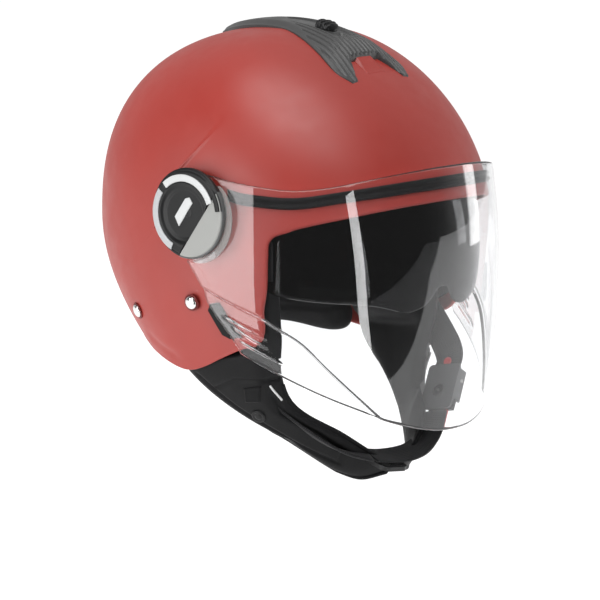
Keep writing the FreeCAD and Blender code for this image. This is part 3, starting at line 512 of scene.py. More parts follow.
BUCKLE_GREY = moulded("buckle_grey_plastic", (0.045, 0.046, 0.048), 0.4, 0.08, 1300.0, 0.03, wear=0.4)
SIGNAL_RED = moulded("red_plastic", (0.6, 0.015, 0.02), 0.35, 0.08, 1300.0, 0.02)
FOAM = cloth("bead_foam", (0.012, 0.012, 0.0125), 0.85, 4.0, 0.5, 0.15, 0.0)
LINING = cloth("brushed_lining", (0.012, 0.012, 0.013), 0.85, 1.3, 0.12, 0.2, 0.15)
PAD = cloth("pad_leathercloth", (0.0085, 0.0085, 0.009), 0.5, 1.1, 0.10, 0.25, 0.03)
PIPING = cloth("piping_tape", (0.006, 0.006, 0.0065), 0.6, 0.8, 0.10, 0.2, 0.05)
WEBBING = woven("nylon_webbing", (0.016, 0.016, 0.017), 1.4)
CLEAR = pane("clear_polycarbonate", (0.91, 0.915, 0.925), 0.0, 1.53)
BOSS_GREY = moulded("frosted_boss", (0.36, 0.365, 0.35), 0.35, 0.03, 1200.0, 0.01)
BOSS_RING = moulded("frosted_boss_ring", (0.40, 0.41, 0.40), 0.3, 0.03, 1200.0, 0.01, Alpha=0.42)
TINTED = pane("dark_tint", (0.012, 0.012, 0.014), 0.02, 1.33, 0.5)


# ---- camera, light and floor ---------------------------------------------------------------------
CAMERA_AT = Vector((-2.109, -1.726, 0.4017))
LOOKS_AT = Vector((-0.0003, -0.003, -0.0139))
LENS_PER_SENSOR = 241.3 / 36.0      # focal length over the frame's width
FLOOR_Z, FLOOR_NEAR, FLOOR_FAR, FLOOR_HALF = -0.160, -0.35, 11.0, 5.0
FLOOR_GLOW = 0.93
ROOM_LIGHT, WALL_LIGHT = 0.10, 0.55


def aimed(name, data, at, target):
    """A camera or lamp at a place, its -Z pointing at a target with +Y up."""
    obj = bpy.data.objects.new(name, data)
    obj.location = at
    obj.rotation_euler = (Vector(target) - obj.location).to_track_quat("-Z", "Y").to_euler()
    bpy.context.scene.collection.objects.link(obj)
    return obj


def add_camera():
    """The camera fitted to the photo."""
    data = bpy.data.cameras.new("main_camera")
    data.sensor_width = 36.0
    data.lens = 36.0 * LENS_PER_SENSOR
    bpy.context.scene.camera = aimed("main_camera", data, CAMERA_AT, LOOKS_AT)


def softbox(name, at, width, height, power, lean=0.0):
    """A rectangular lamp aimed at the helmet, leaning by some degrees about its own axis."""
    data = bpy.data.lights.new(name, "AREA")
    data.shape = "RECTANGLE"
    data.size = width
    data.size_y = height
    data.energy = power
    aimed(name, data, at, (0, 0, 0)).rotation_euler.rotate_axis("Z", math.radians(lean))


def add_studio():
    """Room light, lamps and floor."""
    bpy.context.scene.view_settings.view_transform = "Standard"
    world = bpy.data.worlds.new("studio")
    bpy.context.scene.world = world
    world.use_nodes = True
    tree = world.node_tree
    background = tree.nodes["Background"]
    background.inputs["Color"].default_value = (1.0, 1.0, 1.0, 1.0)
    away = Vector((LOOKS_AT.x - CAMERA_AT.x, LOOKS_AT.y - CAMERA_AT.y, 0.0)).normalized()
    # pale wall behind the helmet, darker room in front of it
    heading = node(tree, "ShaderNodeTexCoord").outputs["Generated"]
    behind = node(tree, "ShaderNodeVectorMath", [(0, heading)], operation="DOT_PRODUCT")
    behind.inputs[1].default_value = away
    wall = node(tree, "ShaderNodeMapRange", [("Value", behind.outputs["Value"])],
                From_Min=0.0, From_Max=0.5, To_Min=ROOM_LIGHT, To_Max=WALL_LIGHT)
    tree.links.new(wall.outputs["Result"], background.inputs["Strength"])
    softbox("top_softbox", (-0.5, -0.5, 1.9), 1.6, 1.6, 34.0)
    softbox("left_softbox", (-1.7, 0.35, 0.05), 1.3, 1.5, 22.0)
    softbox("right_softbox", (1.9, -0.89, -0.05), 0.4, 1.3, 6.0)
    softbox("front_strip", (-0.55, -1.37, -0.18), 0.14, 0.95, 2.4, lean=15.0)
    across = Vector((-away.y, away.x, 0.0))
    corners = [away * d + across * w + Vector((0.0, 0.0, FLOOR_Z))
               for d, w in ((FLOOR_NEAR, FLOOR_HALF), (FLOOR_NEAR, -FLOOR_HALF),
                            (FLOOR_FAR, -FLOOR_HALF), (FLOOR_FAR, FLOOR_HALF))]
    mesh = bpy.data.meshes.new("studio_floor")
    mesh.from_pydata([tuple(c) for c in corners], [], [(0, 1, 2, 3)])
    floor = bpy.data.objects.new("studio_floor", mesh)
    bpy.context.scene.collection.objects.link(floor)
    pale = moulded("pale_floor", (0.35, 0.35, 0.35), 0.9, 0.01, 300.0, 0.02)
    glow = pale.node_tree.nodes["Principled BSDF"]
    glow.inputs["Emission Color"].default_value = (1.0, 1.0, 1.0, 1.0)
    glow.inputs["Emission Strength"].default_value = FLOOR_GLOW
    floor.data.materials.append(pale)


# ---- shell ---------------------------------------------------------------------------------------
FAN_Y, FAN_Z = -20.0, 90.0          # middle of the shell's fan of rays in the side view
BROW_LINE = curve_height([(-60.0, 47.5), (-73.0, 50.5), (-82.0, 54.0), (-106.0, 60.7), (-121.0, 64.9),
                          (-150.0, 72.0)])
REAR_LINE = curve_height([(44.6, -40.6), (59.5, -35.4), (80.0, -30.0), (110.0, -26.5), (160.0, -25.0)])
FACE_SIDE = [(-73.0, 50.5), (-66.8, 47.6), (-63.2, 42.0), (-62.4, 32.0), (-61.0, 12.0), (-57.9, -3.9),
             (-57.6, -14.0), (-55.0, -22.5), (-47.0, -27.8), (-38.5, -31.4), (-22.0, -38.8), (-9.0, -44.6),
             (4.3, -48.4), (17.4, -47.4), (44.6, -40.6)]
STEP_R = 31.4                       # the moulded step runs round the cover
STEP_LINE = np.array([(-54.0, -40.0), (-50.3, -33.0), (-42.8, -21.3), (-27.6, 0.2), (-23.6, 11.0),
                      (-16.5, 24.5)]
                     + [(PIVOT_Y + STEP_R * math.cos(math.radians(a)),
                         PIVOT_Z + STEP_R * math.sin(math.radians(a))) for a in range(-84, 57, 10)]
                     + [(-9.5, 100.3), (-21.4, 113.8), (-31.0, 122.0)])
RIDGE_LINE = np.array([(51.5, -27.7), (27.0, -37.9), (8.9, -43.5)])


def shell_edge(grow):
    """Side-view points of the shell's free edge, from the brow's middle to the rear's middle."""
    def reach_at(line, sign, y):
        _, front, rear = shell_sizes(line(y), grow)
        return rear if sign > 0 else front

    def stretch(line, sign, y_end, count):
        y = sign * 120.0
        for _ in range(40):
            y = 0.5 * (y + sign * float(reach_at(line, sign, y)))
        reach_end = float(reach_at(line, sign, y_end))
        last = math.acos(min(abs(y_end) / reach_end, 1.0) ** (PLAN_POWER / 2.0))
        points = []
        for angle in np.linspace(0.0, last, count):
            v = y
            for _ in range(12):
                v = sign * float(reach_at(line, sign, v)) * math.cos(angle) ** (2.0 / PLAN_POWER)
            points.append((v, float(line(v))))
        return points

    brow = stretch(BROW_LINE, -1, -73.0, 60)
    side = spline(FACE_SIDE, 190)[1:-1].tolist()
    rear = stretch(REAR_LINE, 1, 44.6, 60)
    return brow, side, list(reversed(rear))


def silhouette_from(angle, grow):
    """Distance from the fan's middle to the shell's outline in the middle plane."""
    low, high = 10.0, 300.0
    for _ in range(40):
        middle = 0.5 * (low + high)
        y = FAN_Y + middle * math.cos(angle)
        z = FAN_Z + middle * math.sin(angle)
        _, front, rear = shell_sizes(z, grow)
        inside = abs(y) < (rear if y > 0 else front) and z < CROWN_Z + grow
        low, high = (middle, high) if inside else (low, middle)
    return low


def shell_layer(grow):
    """Half of the shell's surface as a fan of rays, with the counts of rays and of points on a ray."""
    near, far = 64, 34
    brow, side, rear = shell_edge(grow)
    edge = brow + side + rear
    angles = [math.atan2(z - FAN_Z, y - FAN_Y) for y, z in edge]
    reach = [math.hypot(y - FAN_Y, z - FAN_Z) for y, z in edge]
    first, last = angles[0], angles[-1]
    turn = (first - last) % (2 * math.pi)
    crown = 170
    for i in range(1, crown):
        a = last + turn * i / crown
        angles.append(a)
        reach.append(silhouette_from(a, grow))
    rays = []
    for a, d, k in zip(angles, reach, range(len(angles))):
        split = min(66.0, 0.8 * d)
        inner = np.linspace(0.0, split, near + 1)[1:]
        limit = silhouette_from(a, grow) if k < len(edge) else d
        theta0 = math.asin(min(split / limit, 1.0))
        theta1 = math.asin(min(d / limit, 1.0))
        outer = limit * np.sin(np.linspace(theta0, theta1, far + 1)[1:])
        rays.append(np.concatenate([inner, outer]))
    rays = np.array(rays)
    angles = np.array(angles)[:, None]
    y = FAN_Y + rays * np.cos(angles)
    z = FAN_Z + rays * np.sin(angles)
    x = shell_x(y, z, grow)
    closed_rays = np.arange(len(angles)) >= len(edge)
    x[closed_rays, -1] = 0.0
    x[0, -1] = 0.0
    x[len(edge) - 1, -1] = 0.0
    points = np.stack([x, y, z], axis=-1)
    centre = np.array([[float(shell_x(FAN_Y, FAN_Z, grow)), FAN_Y, FAN_Z]])
    return np.vstack([centre, points.reshape(-1, 3)]), len(angles), rays.shape[1]


def fan_faces(count, rings):
    """Faces of a fan of rays that share their first point."""
    faces = []
    for i in range(count):
        j = (i + 1) % count
        a, b = 1 + i * rings, 1 + j * rings
        faces.append((0, b, a))
        for k in range(rings - 1):
            faces.append((a + k, b + k, b + k + 1, a + k + 1))
    return faces


def shell_relief(points):
    """How far the moulded details stand off the shell's plain form."""
    y, z = points[:, 1], points[:, 2]
    dist, side, share = to_line(y, z, STEP_LINE)
    height = 3.0 * (1.0 - smooth((share - 0.76) / 0.24))
    sharp = 1.6 + 5.0 * smooth((share - 0.88) / 0.12)
    behind = np.where(side > 0, dist, 0.0)
    step = height * smooth(behind / sharp) * np.exp(-(np.maximum(behind - sharp, 0.0) / 52.0) ** 1.5)
    ridge, _, along = to_line(y, z, RIDGE_LINE)
    lip = 1.0 * np.exp(-(ridge / 2.6) ** 2) * smooth(4 * along) * smooth(4 * (1 - along))
    line = 1.5 * np.exp(-dist ** 2) * smooth((share - 0.55) / 0.1) * (1.0 - smooth((share - 0.8) / 0.15))
    return step + lip - line


def make_shell():
    outer, count, rings = shell_layer(0.0)
    inner, _, _ = shell_layer(-SHELL_WALL)
    faces = fan_faces(count, rings)
    (outer, inner), faces = both_halves([outer, inner], faces)
    outer = outer + normals_of(outer, faces) * shell_relief(outer)[:, None]
    points, faces = walled(outer, inner, faces, 4, 1.0)
    shell = piece("helmet_shell", points, faces, "root", SHELL_RED)
    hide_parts("outer_shell")


# ---- what is fixed to the shell's outside --------------------------------------------------------
SEAL_TOP = curve_height([(-38.0, 76.6), (-46.0, 74.7), (-55.0, 73.6), (-80.0, 72.3), (-105.0, 76.6),
                         (-124.0, 80.6), (-150.0, 86.0)])
SEAL_LOW = curve_height([(-38.0, 69.2), (-46.0, 67.0), (-55.0, 65.9), (-80.0, 64.6), (-105.0, 68.9),
                         (-124.0, 72.3), (-150.0, 77.6)])
# share of the way up the strip, and how far it stands off the shell there
SEAL_PROFILE = [(0.0, 0.3), (0.04, 1.9), (0.14, 2.5), (0.3, 2.5), (0.4, 1.5), (0.5, 1.2), (0.6, 1.5),
                (0.7, 2.5), (0.86, 2.5), (0.96, 1.9), (1.0, 0.3)]


def seal_at(angle, share):
    """Point of the shell's front under the brow seal, at an angle and a share of the way up the strip."""
    y = -120.0
    for _ in range(16):
        z = float(SEAL_LOW(y))
        z += (float(SEAL_TOP(y)) - z) * share
        width, front, _ = shell_sizes(z)
        y = -float(front) * abs(math.cos(angle)) ** (2.0 / PLAN_POWER)
    return np.array([math.copysign(float(width) * abs(math.sin(angle)) ** (2.0 / PLAN_POWER), angle), y, z])


def make_brow_seal():
    last = math.acos((38.5 / 130.0) ** (PLAN_POWER / 2.0))
    angles = np.linspace(-last, last, 161)
    outer, inner = [], []
    for angle in angles:
        taper = smooth((last - abs(angle)) / 0.03)
        for share, height in SEAL_PROFILE:
            point = seal_at(angle, share)
            normal = shell_normal(point)
            outer.append(point + normal * (0.2 + height * taper))
            inner.append(point - normal * 0.2)
    faces = turned_over(grid_faces(len(angles), len(SEAL_PROFILE)))
    points, faces = walled(np.array(outer), np.array(inner), faces, 2, 0.4)
    seal = piece("brow_seal_strip", points, faces, "root", RUBBER)
    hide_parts("brow_seal")


FAIRING_EDGE = np.array([(4.0, 62.5), (13.0, 41.0), (17.0, 17.0), (19.5, -5.0), (24.5, -22.0), (30.5, -42.0),
                         (35.0, -61.0), (30.0, -72.5)])
GAP_INSIDE = np.array([(15.6, -57.5), (19.5, -64.0), (25.0, -73.2)])
GAP_Y = -57.5
BAND = 5.5                          # width of the smooth band along the fairing's edge
RIB_PITCH, RIB_DEPTH = 3.9, 1.6


def deck_z(x, y):
    """Height of the fairing's crowned deck."""
    radius = DECK_R - x * x / (2.0 * DECK_CROWN)
    return SUN_Z + math.sqrt(max(radius ** 2 - (y - SUN_Y) ** 2, 1.0))


def fairing_height(x, y, edge, ground):
    """Top of the fairing: crowned deck, side band at the rear, prongs, ribs and the scoop round the knob."""
    across = min(abs(x) / edge, 1.0)
    middle = deck_z(0.0, y) - shell_top(0.0, y)
    reach = float(smooth((y + 73.5) / 30.0))
    limit = 1.3 + (middle - 1.3) * reach
    front = ground + 1.1 + (limit - 1.1) * (1.0 - across ** 3.0)
    inside = edge - abs(x)
    rear = deck_z(x, y) - 2.8 * float(smooth((BAND - inside) / BAND))
    share = float(smooth((y + 34.0) / 30.0))
    top = rear * share + front * (1.0 - share)
    ribbed = float(smooth((-2.0 - y) / 6.0) * smooth((inside - 1.5 - BAND * share) / 1.0))
    spread = abs(x) * (1.0 + 0.0035 * (y + 30.0)) / RIB_PITCH
    groove = math.exp(-((spread - round(spread)) * RIB_PITCH / 0.5) ** 2)
    beside = float(smooth((abs(x) - 9.8) / 0.8)) if y > -42.0 else 1.0
    scoop = float(smooth((10.2 - abs(x)) / 0.8) * smooth((y + 42.5) / 1.2) * smooth((19.0 - y) / 8.0))
    slot = float(smooth((4.6 - abs(x)) / 0.7) * smooth((y + 42.2) / 0.8) * smooth((-34.4 - y) / 0.8))
    return top - RIB_DEPTH * ribbed * beside * groove - 1.5 * scoop - 3.0 * slot


def make_fairing():
    edge_line = spline(FAIRING_EDGE, 120)
    order = np.argsort(edge_line[:, 1])
    gap_line = spline(GAP_INSIDE, 40)
    gap_order = np.argsort(gap_line[:, 1])
    columns, gap_column = 64, 29
    body_rows = np.concatenate([np.linspace(62.5, -40.0, 76)[:-1], np.linspace(-40.0, GAP_Y, 22)])
    prong_rows = np.linspace(GAP_Y, -72.5, 18)[1:]
    outer, inner, faces = [], [], []
    for y in np.concatenate([body_rows, prong_rows]):
        edge = float(np.interp(y, edge_line[order, 1], edge_line[order, 0]))
        for k in range(columns + 1):
            if y >= GAP_Y:
                x = edge * k / columns
            elif k < gap_column:
                x = 0.0
            else:
                start = float(np.interp(y, gap_line[gap_order, 1], gap_line[gap_order, 0]))
                x = start + (edge - start) * (k - gap_column) / (columns - gap_column)
            ground = shell_top(x, y)
            top = max(fairing_height(x, y, edge, ground), ground + 0.35)
            outer.append((x, y, top))
            inner.append((x, y, ground - 0.6))
    width = columns + 1
    total = len(body_rows) + len(prong_rows)
    for i in range(total - 1):
        for k in range(columns):
            if i >= len(body_rows) - 1 and k < gap_column:
                continue
            a = i * width + k
            faces.append((a, a + width, a + width + 1, a + 1))
    used = sorted({i for f in faces for i in f})
    index = {v: n for n, v in enumerate(used)}
    faces = [tuple(index[i] for i in f) for f in faces]
    layers, faces = both_halves([np.array(outer)[used], np.array(inner)[used]], faces)
    points, faces = walled(layers[0], layers[1], faces, 3, 0.12)
    fairing = piece("fairing_cover", points, faces, "root", GRAPHITE)
    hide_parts("top_fairing")


def make_intake_floor():
    """Raised middle of the air intake's floor, between the prongs."""
    rows, columns = 22, 30
    outer, inner = [], []
    for y in np.linspace(-56.8, -69.0, rows):
        for x in np.linspace(-9.5, 9.5, columns):
            ground = shell_top(x, y)
            lift = 2.6 * float(smooth((9.4 - abs(x)) / 2.2)) * (1.0 - float(smooth((-y - 57.0) / 11.5)))
            outer.append((x, y, ground + 0.15 + lift))
            inner.append((x, y, ground - 1.0))
    outer, inner = np.array(outer), np.array(inner)
    points, faces = walled(outer, inner, facing(outer, grid_faces(rows, columns), (0.0, 0.0, 1.0)), 1, 0.1)
    piece("intake_floor", points, faces, "root", SHELL_RED)


def make_knob():
    """Slider knob: a round button with ribs across it."""
    base = DECK_R - 1.9
    steps, radius, height = 96, 7.6, 5.8
    top_radius, top_rings = 5.6, 22
    rings = [(radius, 0.0), (radius, 3.9), (7.3, 4.9), (6.6, 5.5), (top_radius, height)]
    rings += [(top_radius * (1 - q / top_rings), height) for q in range(1, top_rings)]
    outer = [(r * math.cos(a), r * math.sin(a), h) for r, h in rings
             for a in np.linspace(0, 2 * math.pi, steps, endpoint=False)]
    faces = ring_faces(len(rings), steps)
    outer.append((0.0, 0.0, height))
    last = len(outer) - 1
    faces += [(last - steps + i, last - steps + (i + 1) % steps, last) for i in range(steps)]
    points = np.array(outer)
    on_top = points[:, 2] > 4.5
    ribs = 0.5 + 0.5 * np.cos(2 * math.pi * points[:, 1] / 3.6)
    bowed = 0.8 * (np.hypot(points[:, 0], points[:, 1]) / radius) ** 2
    points[:, 2] -= np.where(on_top, 1.3 * ribs ** 1.5 + bowed, 0.0)
    inner = points.copy()
    inner[:, 2] = np.minimum(points[:, 2], 0.0) - 0.3
    stem, stem_faces = lathe([(2.7, -0.2), (2.7, -12.8)], 32)
    stem = np.stack([stem[:, 1], stem[:, 2], stem[:, 0]], axis=1)
    points, faces = walled(points, inner, faces, 1, 0.1)
    points, faces = joined([(points, faces), (stem, stem_faces)])
    lean = Matrix.Rotation(math.radians(KNOB_LEAN), 3, "X")
    placed = [Vector((0.0, SUN_Y, SUN_Z)) + lean @ Vector((p[0], p[1], p[2] + base)) for p in points]
    knob = piece("slider_button", np.array([tuple(p) for p in placed]), faces, "slider", BLACK)
    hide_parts("slider_knob")


def at_rivets(points, faces):
    """A copy of a turned shape at every rivet on both sides of the shell."""
    parts = []
    for y, z in RIVETS:
        at = [float(shell_x(y, z)), y, z]
        placed = set_on(points, shell_normal(at), at)
        parts += [(placed, faces), flipped(placed, faces)]
    return joined(parts)


def make_rivets():
    """Domed rivets, each in a countersunk ring."""
    head_radius, steps = 4.5, 40
    head = [(2.4, -5.2), (2.4, -0.4), (head_radius, -0.4)]
    head += [(head_radius * math.sin(a), 0.3 + 1.9 * math.cos(a)) for a in np.linspace(math.pi / 2, 0.08, 9)]
    seat = [(5.7, -0.6), (5.7, 0.05), (5.3, 0.22), (4.8, 0.1), (4.8, -0.6)]
    points, faces = at_rivets(*lathe(seat, steps))
    # the seat rings take the red lacquer painted darker, as painted shade round the rivet heads
    piece("strap_rivet_seats", points, faces, "root", SHELL_RED_PAINTED_SHADE)
    points, faces = at_rivets(*lathe(head, steps))
    rivets = piece("strap_rivet_heads", points, faces, "root", CHROME)
    add_bevel(rivets, 0.15)
    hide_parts("strap_rivets")


def add_bevel(obj, width, angle=35.0):
    """Rounds a hard-edged piece's sharp edges by a width in millimetres."""
    bevel = obj.modifiers.new("edges", "BEVEL")
    bevel.width = width * MM
    bevel.segments = 2
    bevel.limit_method = "ANGLE"
    bevel.angle_limit = math.radians(angle)
    bevel.harden_normals = False
    auto = obj.modifiers.new("shading", "WEIGHTED_NORMAL")
    auto.keep_sharp = False


# ---- clear visor and its covers ------------------------------------------------------------------
VISOR_LOW_LINE = [(-49.7, -31.3), (-60.0, -37.5), (-72.7, -44.8), (-107.0, -65.6), (-118.0, -73.2),
                  (-132.8, -84.2), (-136.2, -86.8)]
VISOR_TOP_LINE = [(-30.0, 84.3), (-49.2, 80.4), (-77.6, 76.6), (-94.8, 77.5), (-108.5, 80.4), (-126.0, 85.6),
                  (-133.3, 87.9)]
VISOR_REAR_LINE = [(-49.7, -31.3), (-44.2, -20.8), (-29.0, 0.9), (-25.2, 12.7), (-14.5, 28.7), (-1.0, 37.0),
                   (6.5, 48.0), (8.8, 60.0), (5.0, 73.0), (-6.0, 82.0), (-19.0, 85.4), (-30.0, 84.3)]
VISOR_CREASE = spline([(-20.0, 14.0), (-25.0, 12.7), (-45.0, 3.2), (-62.6, -5.0), (-72.0, -11.3),
                       (-87.2, -23.0), (-100.0, -41.0), (-111.9, -60.0), (-120.5, -76.0)], 60)
VISOR_RIBS = [((-37.0, -5.6), (-68.0, -21.5)), ((-43.8, -12.6), (-67.5, -27.0)),
              ((-46.0, -21.0), (-78.0, -38.7))]
EVEN_ANGLE = 130.0                  # weighs angle against height when points are spaced evenly


def coons(first, last, near, far, u, v):
    """Grid over a four-sided outline given by its first and last rows and its near and far columns."""
    u, v = u[None, :, None], v[:, None, None]
    return ((1 - v) * first[None] + v * last[None] + (1 - u) * near[:, None] + u * far[:, None]
            - ((1 - u) * (1 - v) * first[0] + u * (1 - v) * first[-1]
               + (1 - u) * v * last[0] + u * v * last[-1]))


def to_angle_line(points, count, front):
    """A side-view curve as (angle, z) points; the front one ends in the middle plane."""
    line = spline(points, 400)
    flat = np.stack([visor_angle(line[:, 0], line[:, 1]), line[:, 1]], axis=1)
    if front:
        flat[-1, 0] = 0.0
    scale = np.array([EVEN_ANGLE, 1.0])
    return evenly(flat * scale, count) / scale


def visor_relief(y, z):
    """Stand-off of the moulded crease, the sunk cheek and its ribs."""
    dist, side, _ = to_line(y, z, VISOR_CREASE)
    below = np.where(side < 0, dist, -dist)
    sunk = -2.4 * smooth((below + 0.4) / 2.2)
    ribs = np.zeros_like(y)
    for a, b in VISOR_RIBS:
        gap, _, share = to_line(y, z, np.array([a, b]))
        ribs += 1.6 * np.exp(-(gap / 1.15) ** 2) * smooth(5 * share) * smooth(5 * (1 - share))
    return sunk + ribs


def under_cover(points, limit):
    """Lets the visor's ears into the room behind the round covers."""
    away = np.hypot(points[:, 1] - PIVOT_Y, points[:, 2] - PIVOT_Z)
    share = 1.0 - smooth((away - COVER_R) / 1.6)
    sunk = np.maximum(np.abs(points[:, 0]) - limit, 0.0) * share
    points[:, 0] -= np.sign(points[:, 0]) * sunk
    return points


def make_visor():
    """The long clear visor, with its ears sunk behind the covers."""
    columns, rows = 190, 150
    s = np.linspace(0.0, 1.0, columns)
    u = 0.5 * s + 0.5 * s ** 2
    fine = 800
    low, top = [to_angle_line(line, fine, True) for line in (VISOR_LOW_LINE, VISOR_TOP_LINE)]
    low, top = [np.stack([np.interp(u, np.linspace(0, 1, fine), line[:, k]) for k in (0, 1)], axis=1)
                for line in (low, top)]
    rear = to_angle_line(VISOR_REAR_LINE, rows, False)
    v = np.linspace(0.0, 1.0, rows)
    front = np.stack([0.0 * v, low[-1, 1] + (top[-1, 1] - low[-1, 1]) * v], axis=1)
    flat = coons(low, top, rear, front, u, v)
    angle, z = flat[..., 0].ravel(), flat[..., 1].ravel()
    in_middle = np.tile(s == 1.0, rows)
    angle = np.where(in_middle, 0.0, angle)
    outer, inner = visor_point(angle, z), visor_point(angle, z, -VISOR_WALL)
    outer[in_middle, 0] = 0.0
    inner[in_middle, 0] = 0.0
    (outer, inner), faces = both_halves([outer, inner], grid_faces(rows, columns))
    faces = facing(outer, faces, outer * np.array([1.0, 1.0, 0.0]))
    normals = normals_of(outer, faces)
    relief = visor_relief(outer[:, 1], outer[:, 2])[:, None] * normals
    outer = under_cover(outer + relief, COVER_IN - 0.3)
    inner = under_cover(inner + relief, COVER_IN - 0.3 - VISOR_WALL)
    points, faces = walled(outer, inner, faces, 3, 1.0)
    visor = piece("visor_shield", points, faces, "visor", CLEAR)
    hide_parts("clear_visor")


CHORD = ((-30.6, 65.0), (-7.9, 34.0))
INLAY_Y, INLAY_Z = PIVOT_Y + 3.0, PIVOT_Z - 0.8      # middle of the dish and of the pale bands
BAND_RADII = (21.7, 26.4)
EAR_GAP = 0.6                       # from the cover's straight edge to the boss in front of it
FINGER_BAR = [(-3.4, -10.5), (3.2, -7.5), (3.2, 8.0), (0.9, 11.0), (-3.4, 9.5)]
BAR_LEAN = math.radians(-36.0)


def chord_cut(obj, front, offset=0.0):
    """Keeps the part of a round piece in front of or behind the cover's straight edge, and closes it."""
    (ya, za), (yb, zb) = CHORD
    along = Vector((0.0, yb - ya, zb - za)).normalized()
    ahead = Vector((0.0, along.z, -along.y))
    at = (Vector((0.0, ya, za)) + ahead * offset) * MM
    mesh = bmesh.new()
    mesh.from_mesh(obj.data)
    cut = bmesh.ops.bisect_plane(mesh, geom=mesh.verts[:] + mesh.edges[:] + mesh.faces[:], plane_co=at,
                                 plane_no=-ahead if front else ahead, clear_outer=True)
    rim = [e for e in cut["geom_cut"] if isinstance(e, bmesh.types.BMEdge)]
    bmesh.ops.edgeloop_fill(mesh, edges=rim)
    bmesh.ops.recalc_face_normals(mesh, faces=mesh.faces[:])
    mesh.to_mesh(obj.data)
    mesh.free()


def round_piece(name, profile, sign, material, front=False, offset=0.0, cut=True):
    """A lathe piece round the visor's axis, cut along the cover's straight edge."""
    points, faces = lathe(profile, 120)
    points = points * np.array([sign, 1.0, 1.0]) + np.array([0.0, PIVOT_Y, PIVOT_Z])
    if sign > 0:
        faces = turned_over(faces)
    obj = piece(name, points, faces, "visor", material)
    if cut:
        chord_cut(obj, front, offset)
    return obj


def arc_band(name, sign, start, end, radii, centre, crown, top, low, material, taper=0.0):
    """Curved band between two angles in degrees from the rear upwards; it may narrow to its ends."""
    steps, across = 70, 7
    outer, inner = [], []
    for k, radius in enumerate(np.linspace(*radii, across)):
        rise = crown * (1.0 - abs(2.0 * k / (across - 1) - 1.0) ** 4)
        for share, a in zip(np.linspace(0.0, math.pi, steps), np.radians(np.linspace(start, end, steps))):
            width = (radius - radii[0]) * (1.0 - taper + taper * max(math.sin(share), 0.001) ** 0.45)
            y = centre[0] + (radii[0] + width) * math.cos(a)
            z = centre[1] + (radii[0] + width) * math.sin(a)
            outer.append((sign * (top + rise), y, z))
            inner.append((sign * low, y, z))
    faces = grid_faces(across, steps)
    if sign > 0:
        faces = turned_over(faces)
    points, faces = walled(np.array(outer), np.array(inner), faces, 2, 0.12)
    return piece(name, points, faces, "visor", material)


def cover_relief(y, z):
    """Depth below the cover's face of its outer step, of the bands' groove and of the dish."""
    from_pivot = np.hypot(y - PIVOT_Y, z - PIVOT_Z)
    from_inlay = np.hypot(y - INLAY_Y, z - INLAY_Z)
    angle = np.degrees(np.arctan2(z - INLAY_Z, y - INLAY_Y))
    groove = smooth((from_inlay - 21.2) / 0.5) * smooth((26.8 - from_inlay) / 0.5)
    groove = groove * (1.0 - smooth((7.0 - np.abs(angle - 42.0)) / 1.5))
    step = 1.0 * smooth((from_pivot - 27.3) / 0.6) + 0.5 * smooth((from_pivot - 28.9) / 0.6)
    dish = 1.5 * smooth((20.6 - from_inlay) / 3.2) + 0.5 * smooth((17.2 - from_inlay) / 2.0)
    return 0.6 * groove + step + dish


def make_cover(side, sign):
    """A round cover with its rim and the two pale bands let into it."""
    rings, steps = 62, 170
    radii = COVER_R * np.linspace(0.0, 1.0, rings + 1)[1:]
    points = [(0.0, PIVOT_Y, PIVOT_Z)]
    for radius in radii:
        for i in range(steps):
            a = 2.0 * math.pi * i / steps
            points.append((0.0, PIVOT_Y + radius * math.cos(a), PIVOT_Z + radius * math.sin(a)))
    points = np.array(points)
    faces = [(0, 1 + i, 1 + (i + 1) % steps) for i in range(steps)]
    faces += ring_faces(rings, steps, first=1, over=True)
    outer, inner = points.copy(), points.copy()
    outer[:, 0] = sign * (COVER_OUT - cover_relief(points[:, 1], points[:, 2]))
    inner[:, 0] = sign * COVER_IN
    if sign < 0:
        faces = turned_over(faces)
    points, faces = walled(outer, inner, faces, 1, 0.05)
    cover = piece("visor_cover_" + side, points, faces, "visor", BLACK)
    chord_cut(cover, False)
    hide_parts("pivot_cover_" + side)
    pivot, inlay = (PIVOT_Y, PIVOT_Z), (INLAY_Y, INLAY_Z)
    arc_band("cover_rim_" + side, sign, 126.0, 173.0, (24.6, COVER_R - 1.9), pivot, 0.2,
             COVER_OUT - 0.3, COVER_IN, BLACK)
    arc_band("cover_rim_step_" + side, sign, 126.0, 173.0, (COVER_R - 2.3, COVER_R), pivot, 0.15,
             COVER_OUT - 1.3, COVER_IN, BLACK)
    upper = arc_band("cover_band_upper_" + side, sign, 48.5, 159.0, BAND_RADII, inlay, 0.25,
                     COVER_OUT - 0.15, COVER_OUT - 1.2, PALE)
    # the lower band is the same pale grey painted darker, as painted shade
    arc_band("cover_band_lower_" + side, sign, -66.0, 36.0, BAND_RADII, inlay, 0.25,
             COVER_OUT - 0.15, COVER_OUT - 1.2, PALE_PAINTED_SHADE)
    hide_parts("cover_trim_" + side)


def make_finger_bar(side, sign):
    """Raised bar in the cover's dish, leaning like the cover's straight edge."""
    c, s = math.cos(BAR_LEAN), math.sin(BAR_LEAN)
    outer = np.array([(sign * (COVER_OUT - 1.5), INLAY_Y + 1.5 + a * c + b * s,
                       INLAY_Z + 2.0 - a * s + b * c) for a, b in FINGER_BAR])
    inner = outer.copy()
    inner[:, 0] = sign * (COVER_OUT - 2.8)
    face = [tuple(range(len(FINGER_BAR)))]
    if sign < 0:
        face = turned_over(face)
    points, faces = walled(outer, inner, face, 1, 0.05)
    mark = piece("cover_finger_bar_" + side, points, faces, "visor", PALE, flat=True)
    add_bevel(mark, 0.3)
    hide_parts("cover_mark_" + side)


